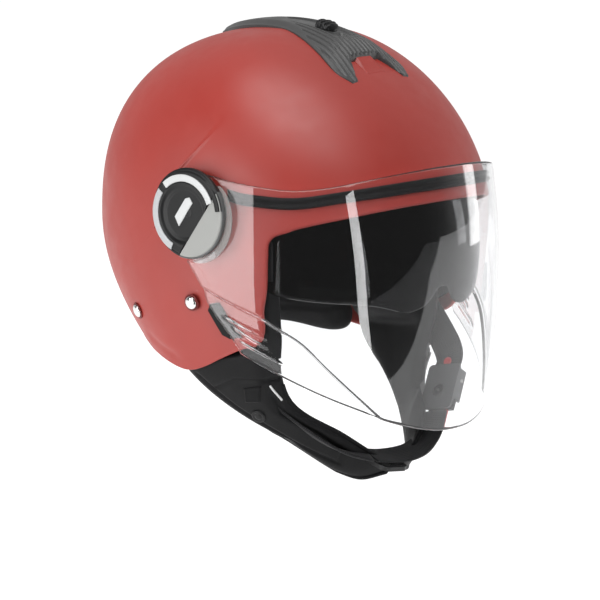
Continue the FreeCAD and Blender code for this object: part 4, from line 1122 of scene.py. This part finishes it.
def make_covers():
    """Both covers, with what turns with them on the visor's axis."""
    for side, sign in (("left", 1), ("right", -1)):
        make_cover(side, sign)
        spigot, spigot_faces = lathe([(6.0, 122.3), (6.0, COVER_IN + 0.2)], 48)
        spigot = spigot * np.array([sign, 1.0, 1.0]) + np.array([0.0, PIVOT_Y, PIVOT_Z])
        piece("visor_cover_spigot_" + side, spigot, spigot_faces, "visor", BLACK)
        make_finger_bar(side, sign)
        profile = [(2.0, 122.6), (2.0, COVER_OUT - 2.2), (3.4, COVER_OUT - 2.2), (3.4, COVER_OUT - 1.9),
                   (3.0, COVER_OUT - 1.7), (1.0, COVER_OUT - 1.65)]
        screw = round_piece("cover_screw_" + side, profile, sign, BLACK, cut=False)
        add_bevel(screw, 0.15)
        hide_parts("pivot_screw_" + side)
        # the boss that shows in front of the cover's straight edge, the edge round it and a clear ring
        profile = [(29.2, COVER_IN), (29.2, COVER_OUT - 1.6), (28.6, COVER_OUT - 1.0),
                   (27.6, COVER_OUT - 0.9), (1.0, COVER_OUT - 0.9)]
        ear = round_piece("visor_ear_window_" + side, profile, sign, BOSS_GREY,
                          front=True, offset=EAR_GAP)
        add_bevel(ear, 0.3, 40.0)
        profile = [(30.2, COVER_IN), (30.2, COVER_OUT - 1.7), (29.8, COVER_OUT - 1.3),
                   (29.35, COVER_OUT - 1.3), (29.3, COVER_IN)]
        edge = round_piece("visor_ear_edge_" + side, profile, sign, EDGE_GREY,
                           front=True, offset=EAR_GAP)
        add_bevel(edge, 0.15, 40.0)
        arc_band("visor_ear_ring_" + side, sign, 140.0, 268.0, (30.3, 36.0), (PIVOT_Y, PIVOT_Z), 0.0,
                 COVER_IN + 0.1, COVER_IN - 0.5, BOSS_RING, taper=1.0)


# ---- sun visor -----------------------------------------------------------------------------------
SUN_EDGE = spline([(0.0, 8.6), (6.0, 7.0), (12.0, 0.0), (18.0, -4.4), (28.0, -6.8), (36.0, -5.6),
                   (56.0, 0.0), (85.0, 4.2), (97.0, 9.0), (99.6, 16.0)], 90)


def make_sun_visor():
    """The drop-down sun visor's lens."""
    rows = 40
    outer, inner = [], []
    for share in np.linspace(0.0, 1.0, rows):
        for x, z in SUN_EDGE:
            for layer, grow in ((outer, 0.0), (inner, -SUN_WALL)):
                radius = float(sun_radius(x, grow))
                low = math.asin(max(min((z - SUN_Z) / radius, 0.99), -0.99))
                angle = low + (math.radians(34.0) - low) * share
                layer.append((x, SUN_Y - radius * math.cos(angle), SUN_Z + radius * math.sin(angle)))
    (outer, inner), faces = both_halves([np.array(outer), np.array(inner)], grid_faces(rows, len(SUN_EDGE)))
    points, faces = walled(outer, inner, facing(outer, faces, (0.0, -1.0, 0.0)), 3, 1.0)
    lens = piece("sun_visor_lens", points, faces, "sun_visor", TINTED)
    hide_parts("sun_visor")


# ---- padding -------------------------------------------------------------------------------------
SOFT_LEVELS = np.array([(30.0, 112.0, 112.0, 120.0), (0.0, 109.5, 112.0, 116.0), (-25.0, 106.0, 111.0, 106.0),
                        (-47.0, 104.0, 107.0, 100.0), (-75.0, 92.0, 100.0, 92.0), (-100.0, 78.0, 94.0, 84.0),
                        (-128.0, 63.0, 86.0, 76.0)])
SOFT_CURVES = [np.polyfit(SOFT_LEVELS[:, 0], SOFT_LEVELS[:, k], 4) for k in (1, 2, 3)]
CHEEK_TOP = [(-54.0, 22.0), (16.0, 22.0)]
CHEEK_REAR = [(16.0, 22.0), (22.0, -20.0), (17.0, -49.0), (-13.6, -76.5), (-41.8, -97.2), (-66.0, -119.0)]
CHEEK_TIP = [(-82.5, -121.5), (-75.0, -124.0), (-66.0, -119.0)]
CHEEK_FRONT = [(-54.0, 22.0), (-56.5, -22.0), (-53.5, -50.0), (-57.0, -72.0), (-75.6, -92.0), (-84.0, -112.0),
               (-82.5, -121.5)]
FLAP_SEAMS = [np.array([(-8.0, -62.0), (-26.9, -53.8), (-46.0, -53.0), (-54.0, -52.0)]),
              np.array([(6.0, -50.0), (-22.0, -74.0), (-46.0, -91.5), (-62.0, -105.0), (-72.0, -113.0),
                        (-76.0, -104.0), (-67.0, -91.0), (-52.0, -76.0), (-47.5, -60.0)])]
BUCKLE_CENTRE = np.array([65.0, -77.0, -76.0])
BUCKLE_ALONG = np.array([0.45, 0.12, 0.66])
BUCKLE_NORMAL = np.array([0.85, -0.1, -0.55])


def soft_x(y, z):
    """Half width of the padding's outside over a point of the side view."""
    width, front, rear = [np.polyval(c, z) for c in SOFT_CURVES]
    reach = np.where(np.asarray(y) > 4.0, rear, front)
    return width * dome(np.abs(np.asarray(y) - 4.0) / reach, 2.2)


def swell(obj, limit, pressure=4.0):
    """Lets a padded piece swell as cloth under air pressure; limit is each point's furthest move in mm."""
    scene = bpy.context.scene
    start = np.array([v.co[:] for v in obj.data.vertices])
    cloth_modifier = obj.modifiers.new("cloth", "CLOTH")
    settings = cloth_modifier.settings
    settings.quality = 5
    settings.mass = 0.3
    settings.tension_stiffness = 12.0
    settings.compression_stiffness = 12.0
    settings.shear_stiffness = 5.0
    settings.bending_stiffness = 0.8
    settings.use_pressure = True
    settings.uniform_pressure_force = pressure
    settings.effector_weights.gravity = 0.0
    cloth_modifier.point_cache.frame_start = 1
    cloth_modifier.point_cache.frame_end = 20
    for step in range(1, 21):
        scene.frame_set(step)
    view = bpy.context.evaluated_depsgraph_get()
    swollen = obj.evaluated_get(view).to_mesh()
    moved = np.array([v.co[:] for v in swollen.vertices]) - start
    obj.evaluated_get(view).to_mesh_clear()
    obj.modifiers.remove(cloth_modifier)
    scene.frame_set(1)
    length = np.linalg.norm(moved, axis=1)
    limit = np.broadcast_to(limit, length.shape) * MM
    tiny = 1e-9
    softened = limit * np.tanh(length / np.maximum(limit, tiny))
    share = np.where(length > tiny, softened / np.maximum(length, tiny), 0.0)
    obj.data.vertices.foreach_set("co", (start + moved * share[:, None]).ravel())
    obj.data.update()


def refined(obj, levels):
    """Applies a subdivision and gives the object's points and outward directions in mm."""
    modifier = obj.modifiers.new("round", "SUBSURF")
    modifier.levels = levels
    modifier.render_levels = levels
    view = bpy.context.evaluated_depsgraph_get()
    view.update()
    mesh = bpy.data.meshes.new_from_object(obj.evaluated_get(view))
    obj.modifiers.clear()
    old = obj.data
    obj.data = mesh
    bpy.data.meshes.remove(old)
    mesh.polygons.foreach_set("use_smooth", [True] * len(mesh.polygons))
    return np.array([v.co[:] for v in mesh.vertices]) / MM, np.array([v.normal[:] for v in mesh.vertices])


def moved_to(obj, points):
    """Puts a piece's points where they are wanted, in mm."""
    obj.data.vertices.foreach_set("co", (points * MM).ravel())
    obj.data.update()


def creases(points, lines, width, depth, along):
    """Depth of sewn channels along lines of the side or plan view."""
    a, b = points[:, along[0]], points[:, along[1]]
    total = np.zeros(len(points))
    for line in lines:
        dist, _, share = to_line(a, b, line)
        ends = smooth(20 * share) * smooth(20 * (1 - share))
        total = np.maximum(total, depth * np.exp(-(dist / width) ** 2) * ends)
    return total


def clear_of_buckle(points):
    """Presses the left pad away from the buckle and the strap's end."""
    x = BUCKLE_ALONG / np.linalg.norm(BUCKLE_ALONG)
    z = BUCKLE_NORMAL - x * (BUCKLE_NORMAL @ x)
    z /= np.linalg.norm(z)
    y = np.cross(z, x)
    local = points - BUCKLE_CENTRE
    a, b, c = local @ x, local @ y, local @ z
    near = smooth((a + 42.0) / 8.0) * smooth((26.0 - a) / 8.0) * smooth((20.0 - np.abs(b)) / 5.0)
    inside = (c > -7.0) & (c < 16.0)
    shift = np.where(inside, c + 7.0, 0.0) * near
    return points - z * shift[:, None]


def make_cheek_pad(side, sign):
    """Cheek pad with the flap that wraps the jaw, its piping, seams, patch and snap."""
    columns, rows = 19, 38
    top, tip = spline(CHEEK_TOP, columns), spline(CHEEK_TIP, columns)
    front, rear = spline(CHEEK_FRONT, rows), spline(CHEEK_REAR, rows)
    flat = coons(top, tip, front, rear, np.linspace(0, 1, columns), np.linspace(0, 1, rows)).reshape(-1, 2)
    outline = np.vstack([top, rear[1:], tip[::-1][1:], front[::-1][1:]])
    y, z = flat[:, 0], flat[:, 1]
    away, _, _ = to_line(y, z, np.vstack([outline, outline[:1]]))
    thick = 15.0 - 3.0 * smooth((-z - 55.0) / 40.0)
    room = 95.2 + 9.5 * smooth((-31.0 - z) / 8.0)
    surface = np.minimum(soft_x(y, z) - 0.6, room)
    half = 0.5 * thick * (0.16 + 0.84 * dome(1.0 - np.minimum(away / 9.0, 1.0), 2.1))
    middle = surface - 0.5 * thick
    outer = np.stack([-(middle + half), y, z], axis=-1)
    inner = np.stack([-(middle - half), y, z], axis=-1)
    faces = facing(outer, grid_faces(rows, columns), (-1.0, 0.0, 0.0))
    count = len(outer)
    points, faces = walled(outer, inner, faces, 1, 1.0)
    if sign > 0:
        points, faces = flipped(points, faces)
    pad = piece("cheek_padding_" + side, points, faces, "root", PAD)
    swell(pad, 3.0)
    settled = np.array([v.co[:] for v in pad.data.vertices]) / MM
    rear = [k * columns + columns - 1 for k in range(rows)]
    tip = [(rows - 1) * columns + k for k in reversed(range(columns))]
    front = [k * columns for k in reversed(range(rows))]
    rim = rear[int(rows * 0.36):] + tip[1:] + front[1:int(rows * 0.5)]
    path = np.array([0.5 * (settled[i] + settled[count + i]) for i in rim])
    points, normals = refined(pad, 2)
    depth = creases(points, FLAP_SEAMS, 1.3, 1.5, (1, 2)) * (normals[:, 0] * sign > 0.2)
    points = points - normals * depth[:, None]
    if sign > 0:
        points = clear_of_buckle(points)
    moved_to(pad, points)
    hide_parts("cheek_pad_" + side)
    welt, welt_faces = tube(evenly(path, 160), 1.5, 12)
    if sign > 0:
        welt = clear_of_buckle(welt)
    piece("cheek_piping_" + side, welt, welt_faces, "root", PIPING)
    add_flap_details(pad, side, sign)


def on_side(obj, sign):
    """Looks up the outside surface of a piece from the side."""
    points = [v.co / MM for v in obj.data.vertices]
    tree = BVHTree.FromPolygons(points, [tuple(p.vertices) for p in obj.data.polygons])

    def find(y, z):
        hit, normal, _, _ = tree.ray_cast(Vector((sign * 200.0, y, z)), Vector((-sign, 0.0, 0.0)))
        return np.array(hit), np.array(normal if normal.x * sign > 0 else -normal)
    return find


def add_flap_details(pad, side, sign):
    """Patch, snap and a pale tube painted as a highlight along a seam, on the outside of a pad's flap."""
    find = on_side(pad, sign)
    # sewn-on patch with a folded edge
    corners = np.array([(-44.5, -56.8), (-32.5, -59.1), (-30.9, -69.2), (-41.3, -68.5)])
    outer, inner = [], []
    steps = 14
    for i in range(steps):
        for j in range(steps):
            u, v = i / (steps - 1), j / (steps - 1)
            y, z = ((1 - u) * (1 - v) * corners[0] + u * (1 - v) * corners[1] + u * v * corners[2]
                    + (1 - u) * v * corners[3])
            at, normal = find(y, z)
            edge = min(u, v, 1 - u, 1 - v)
            lift = 0.5 + 0.6 * float(smooth(edge / 0.09)) - 0.3 * float(smooth((edge - 0.1) / 0.05))
            outer.append(at + normal * lift)
            inner.append(at - normal * 0.4)
    outer, inner = np.array(outer), np.array(inner)
    faces = facing(outer, grid_faces(steps, steps), (sign, 0.0, 0.0))
    points, faces = walled(outer, inner, faces, 1, 0.3)
    piece("flap_patch_" + side, points, faces, "root", PIPING)
    # snap button
    at, normal = find(-36.7, -78.9)
    profile = [(5.0, -1.0), (5.0, 0.5), (4.6, 1.0), (3.6, 1.2), (3.2, 0.9), (2.6, 0.8), (2.2, 1.3),
               (1.2, 1.5), (0.5, 1.55)]
    points, faces = lathe(profile, 40)
    piece("flap_snap_" + side, set_on(points, normal, at), faces, "root", BLACK)
    # pale tube along the seam's end: a painted highlight of the seam
    line = [find(y, z) for y, z in spline([(-48.3, -56.6), (-49.4, -62.0), (-51.0, -67.2)], 12)]
    points, faces = tube(np.array([at + normal * 0.7 for at, normal in line]), 0.75, 10)
    piece("flap_cord_" + side, points, faces, "root", PALE)


def head_sizes(z, grow):
    """Half width, front and rear reach of the room for the head at a height."""
    top = HEAD_TOP + grow
    k = dome(np.maximum(np.asarray(z, float) - 10.0, 0.0) / (top - 10.0), 2.3)
    return (HEAD_WIDTH + grow) * k, (HEAD_FRONT + grow) * k, (HEAD_REAR + grow) * k


HEAD_POWER = 2.2
LINER_EDGE = spline([(-124.0, 71.5), (-66.0, 71.0), (-56.0, 62.0), (-44.0, 35.0), (-36.0, 27.5),
                     (0.0, 27.0), (38.0, 26.0), (50.0, 14.0), (60.0, -8.0), (70.0, -13.0),
                     (124.0, -13.0)], 200)


def head_point(angle, z, grow):
    """Point of the head room's surface at an angle round the vertical (0 at the front)."""
    width, front, rear = head_sizes(z, grow)
    c, s = math.cos(angle), math.sin(angle)
    reach = front if c > 0 else rear
    x = -width * math.copysign(abs(s) ** (2.0 / HEAD_POWER), s)
    return np.array([x, -reach * math.copysign(abs(c) ** (2.0 / HEAD_POWER), c), z])


def make_comfort_liner():
    """Quilted lining for the crown and the back of the head."""
    steps, rings = 112, 24
    outer, inner = [], []
    for k in range(rings):
        for i in range(steps):
            angle = 2.0 * math.pi * i / steps
            edge = 30.0
            for _ in range(14):
                y = head_point(angle, edge, 4.0)[1]
                edge = float(np.interp(y, LINER_EDGE[:, 0], LINER_EDGE[:, 1]))
            share = k / rings
            # levels run from the edge to the pole along the dome
            start = math.asin(min((max(edge, 10.0) - 10.0) / (HEAD_TOP - 6.0), 1.0))
            lift = math.sin(start + (math.pi / 2 - start) * share)
            z = 10.0 + (HEAD_TOP - 10.0) * lift if edge >= 10.0 else 0.0
            if edge < 10.0:
                z = edge + (10.0 - edge) * min(share / 0.2, 1.0)
                if share > 0.2:
                    z = 10.0 + (HEAD_TOP - 10.0) * math.sin(math.pi / 2 * (share - 0.2) / 0.8)
            rim = 0.5 + 0.5 * float(smooth(share / 0.12))
            outer.append(head_point(angle, z, 7.0 if share < 0.97 else 6.6))
            inner.append(head_point(angle, z, 7.0 - 5.6 * rim))
    outer.append(np.array([0.0, 0.0, HEAD_TOP + 6.8]))
    inner.append(np.array([0.0, 0.0, HEAD_TOP + 1.4]))
    faces = ring_faces(rings, steps)
    pole = rings * steps
    faces += [((rings - 1) * steps + i, (rings - 1) * steps + (i + 1) % steps, pole) for i in range(steps)]
    outer, inner = np.array(outer), np.array(inner)
    middle = np.array([0.0, 0.0, 40.0])
    faces = facing(outer, faces, outer - middle)
    count = len(outer)
    points, faces = walled(outer, inner, faces, 1, 0.8)
    liner = piece("comfort_lining", points, faces, "root", LINING)
    limit = np.where(np.arange(len(points)) < count, 0.05, 2.2)
    swell(liner, limit, 3.0)
    points, normals = refined(liner, 1)
    inward = np.sum(normals * (points - middle), axis=1) < 0
    lines = [np.array([(x, -100.0), (x, 110.0)]) for x in (-52.0, -26.0, 0.0, 26.0, 52.0)]
    lines += [np.array([(-80.0, y), (80.0, y)]) for y in (-58.0, -20.0, 20.0, 58.0)]
    depth = creases(points, lines, 2.4, 2.0, (0, 1)) * (points[:, 2] > 78.0) * inward
    around = [np.array([(-130.0, 76.0), (130.0, 76.0)])]
    depth = np.maximum(depth, creases(points, around, 2.2, 1.8, (1, 2)) * inward)
    moved_to(liner, points - normals * depth[:, None])
    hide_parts("comfort_liner")


ROLL_LOW = curve_height([(20.0, -53.0), (48.0, -49.0), (76.0, -43.5), (110.0, -41.0), (150.0, -40.0)])


def make_neck_roll():
    """Padded roll round the nape, between the cheek pads."""
    stations, ring = 110, 22
    points = []
    for k in range(stations):
        share = k / (stations - 1)
        angle = math.radians(105.0 + 150.0 * share)
        closing = float(dome(abs(2 * share - 1) ** 14, 2.0)) * 0.85 + 0.15
        for i in range(ring):
            a = 2.0 * math.pi * i / ring
            across = math.copysign(abs(math.cos(a)) ** 0.75, math.cos(a)) * closing
            up = math.copysign(abs(math.sin(a)) ** 0.85, math.sin(a)) * closing
            guess = head_point(angle, 0.0, 4.0)
            high, low = -19.5, float(ROLL_LOW(guess[1])) + 0.5
            z = 0.5 * (high + low) + 0.5 * (high - low) * up
            width, _, rear = shell_sizes(z, -SHELL_WALL - 2.4)
            c, s = abs(math.cos(angle)), math.sin(angle)
            behind = 1.0 if math.cos(angle) < 0 else -1.0
            far = np.array([-float(width) * abs(s) ** (2.0 / PLAN_POWER) * math.copysign(1.0, s),
                            float(rear) * c ** (2.0 / PLAN_POWER) * behind, z])
            near = np.array([*head_point(angle, 0.0, -2.0)[:2], z])
            middle, half = 0.5 * (far + near), 0.5 * (far - near)
            points.append(middle + half * across * 0.94)
    faces = capped_rings(stations, ring)
    points = np.array(points)
    centres = np.repeat(points.reshape(stations, ring, 3).mean(axis=1), ring, axis=0)
    if np.sum(normals_of(points, faces[:-2]) * (points - centres), axis=1).mean() < 0:
        faces = turned_over(faces)
    roll = piece("neck_roll_padding", points, faces, "root", PAD)
    swell(roll, 1.2)
    points, normals = refined(roll, 1)
    lines = [np.array([(-130.0, -31.0), (130.0, -31.0)])]
    depth = creases(points, lines, 1.4, 1.2, (0, 2))
    moved_to(roll, points - normals * depth[:, None])
    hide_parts("neck_roll")


# ---- chin strap ----------------------------------------------------------------------------------
STRAP_WIDTH, STRAP_THICK = 22.0, 1.8
SNAP_AT, SNAP_FACING = (73.8, -74.5, -58.6), (-0.84, 0.1, 0.54)
STRAP_STATIONS = [
    ((-112.5, -7.0, 2.0), (0.0, 1.0, 0.0), (1.0, 0.0, 0.1)),
    ((-110.5, -8.0, -12.0), (0.0, 1.0, 0.0), (1.0, 0.0, 0.1)),
    ((-100.0, -14.0, -36.0), (0.1, 1.0, -0.2), (1.0, 0.0, 0.45)),
    ((-84.0, -30.0, -66.0), (0.2, 1.0, -0.35), (1.0, 0.0, 0.6)),
    ((-66.0, -52.0, -88.0), (0.35, 1.0, -0.3), (0.8, 0.0, 0.9)),
    ((-46.0, -72.0, -102.5), (0.3, 1.0, 0.1), (0.5, 0.0, 1.0)),
    ((-26.0, -84.0, -108.5), (0.1, 1.0, 0.3), (0.25, -0.2, 1.0))]
CHIN_STATIONS = [
    ((-26.0, -84.0, -108.5), (0.1, 1.0, 0.3), (0.25, -0.2, 1.0)),
    ((-8.0, -88.0, -111.0), (0.0, 1.0, 0.3), (0.05, -0.3, 1.0)),
    ((12.0, -89.5, -110.5), (0.0, 1.0, 0.2), (-0.15, -0.2, 1.0)),
    ((30.0, -86.0, -107.0), (0.0, 1.0, 0.0), (-0.5, 0.0, 0.87)),
    ((44.6, -81.5, -100.4), (0.0, 1.0, -0.15), (-0.75, 0.05, 0.65)),
    ((51.8, -79.5, -89.8), (0.0, 1.0, -0.18), (-0.84, 0.1, 0.54))]
LEFT_STATIONS = [
    ((112.5, -7.0, 2.0), (0.0, 1.0, 0.0), (-1.0, 0.0, 0.1)),
    ((110.5, -9.0, -10.0), (0.0, 1.0, 0.0), (-1.0, 0.0, 0.2)),
    ((101.0, -28.0, -21.0), (0.0, 0.9, -0.4), (-1.0, 0.0, 0.35)),
    ((90.0, -52.0, -37.0), (0.0, 0.9, -0.4), (-0.9, 0.0, 0.45)),
    ((78.3, -72.5, -54.0), (0.0, 1.0, -0.2), (-0.84, 0.1, 0.54)),
    ((71.1, -74.9, -64.6), (0.0, 1.0, -0.18), (-0.84, 0.1, 0.54))]


def make_strap(name, stations, cad_node):
    """Flat webbing with rounded edges, sewn borders and a UV map in millimetres."""
    flat = [np.concatenate([np.asarray(part, float) / (1.0 if i == 0 else np.linalg.norm(part))
                            for i, part in enumerate(s)]) for s in stations]
    dense = spline(np.array(flat), 90)
    centre = dense[:, :3]
    along = np.gradient(centre, axis=0)
    along /= np.linalg.norm(along, axis=1, keepdims=True)
    across = dense[:, 3:6]
    across -= along * np.sum(across * along, axis=1, keepdims=True)
    across /= np.linalg.norm(across, axis=1, keepdims=True)
    normal = np.cross(along, across)
    section = []
    half, thick = STRAP_WIDTH / 2.0, STRAP_THICK / 2.0
    for i in range(21):
        w = -half + 2 * half * i / 20
        edge = min(half - abs(w), 1.2) / 1.2
        stitch = 0.22 * math.exp(-((half - abs(w) - 2.6) / 0.5) ** 2)
        section.append((w, thick * (0.45 + 0.55 * math.sqrt(max(1 - (1 - edge) ** 2, 0.0))) - stitch))
    ring = section + [(w, -h) for w, h in reversed(section)]
    count = len(ring)
    lengths = np.concatenate([[0.0], np.cumsum(np.linalg.norm(np.diff(centre, axis=0), axis=1))])
    points = np.array([centre[k] + across[k] * w + normal[k] * h
                       for k in range(len(centre)) for w, h in ring])
    faces = capped_rings(len(centre), count)
    uvs = [(ring[i % count][0], lengths[i // count]) for face in faces for i in face]
    strap = piece(name, points, faces, "root", WEBBING)
    layer = strap.data.uv_layers.new(name="UVMap")
    layer.data.foreach_set("uv", np.array(uvs, float).ravel())
    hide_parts(cad_node)


def make_snap():
    """Small red press stud on the inner face of the left strap."""
    points, faces = lathe([(3.2, 0.0), (3.2, 0.8), (2.7, 1.3), (1.5, 1.3), (1.1, 0.9), (0.3, 0.9)], 40)
    stud = piece("strap_snap", set_on(points, SNAP_FACING, SNAP_AT), faces, "root", SIGNAL_RED)
    add_bevel(stud, 0.2, 40.0)


# ---- pieces whose shape comes from the frame, with their materials -------------------------------
NODE_MATERIALS = {
    "intake_grille": BLACK, "pivot_base": BLACK, "ratchet_ring": BLACK, "visor_stop": RUBBER,
    "sun_visor_arm": BLACK, "sun_visor_bracket": BLACK, "slider_carriage": BLACK, "foam_liner": FOAM,
    "cheek_core": FOAM,
    "strap_anchor": STEEL, "strap_slider": BLACK, "buckle_housing": BUCKLE_GREY, "buckle_lever": BLACK,
    "buckle_pin": CHROME, "buckle_tongue": BLACK, "buckle_eyelet": CHROME, "buckle_pull_tab": SIGNAL_RED}


def dress_nodes():
    """Gives the frame's own nodes their materials."""
    for name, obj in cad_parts.items():
        plain = name.replace("_right", "").replace("_left", "")
        if plain in NODE_MATERIALS:
            for slot in obj.material_slots:
                slot.material = NODE_MATERIALS[plain]


add_camera()
add_studio()
make_shell()
make_brow_seal()
make_fairing()
make_intake_floor()
make_knob()
make_rivets()
make_visor()
make_covers()
make_sun_visor()
for side, sign in (("right", -1), ("left", 1)):
    make_cheek_pad(side, sign)
make_comfort_liner()
make_neck_roll()
make_strap("webbing_right", STRAP_STATIONS, "strap_right")
make_strap("webbing_chin", CHIN_STATIONS, "strap_chin")
make_strap("webbing_left", LEFT_STATIONS, "strap_left")
make_snap()
dress_nodes()
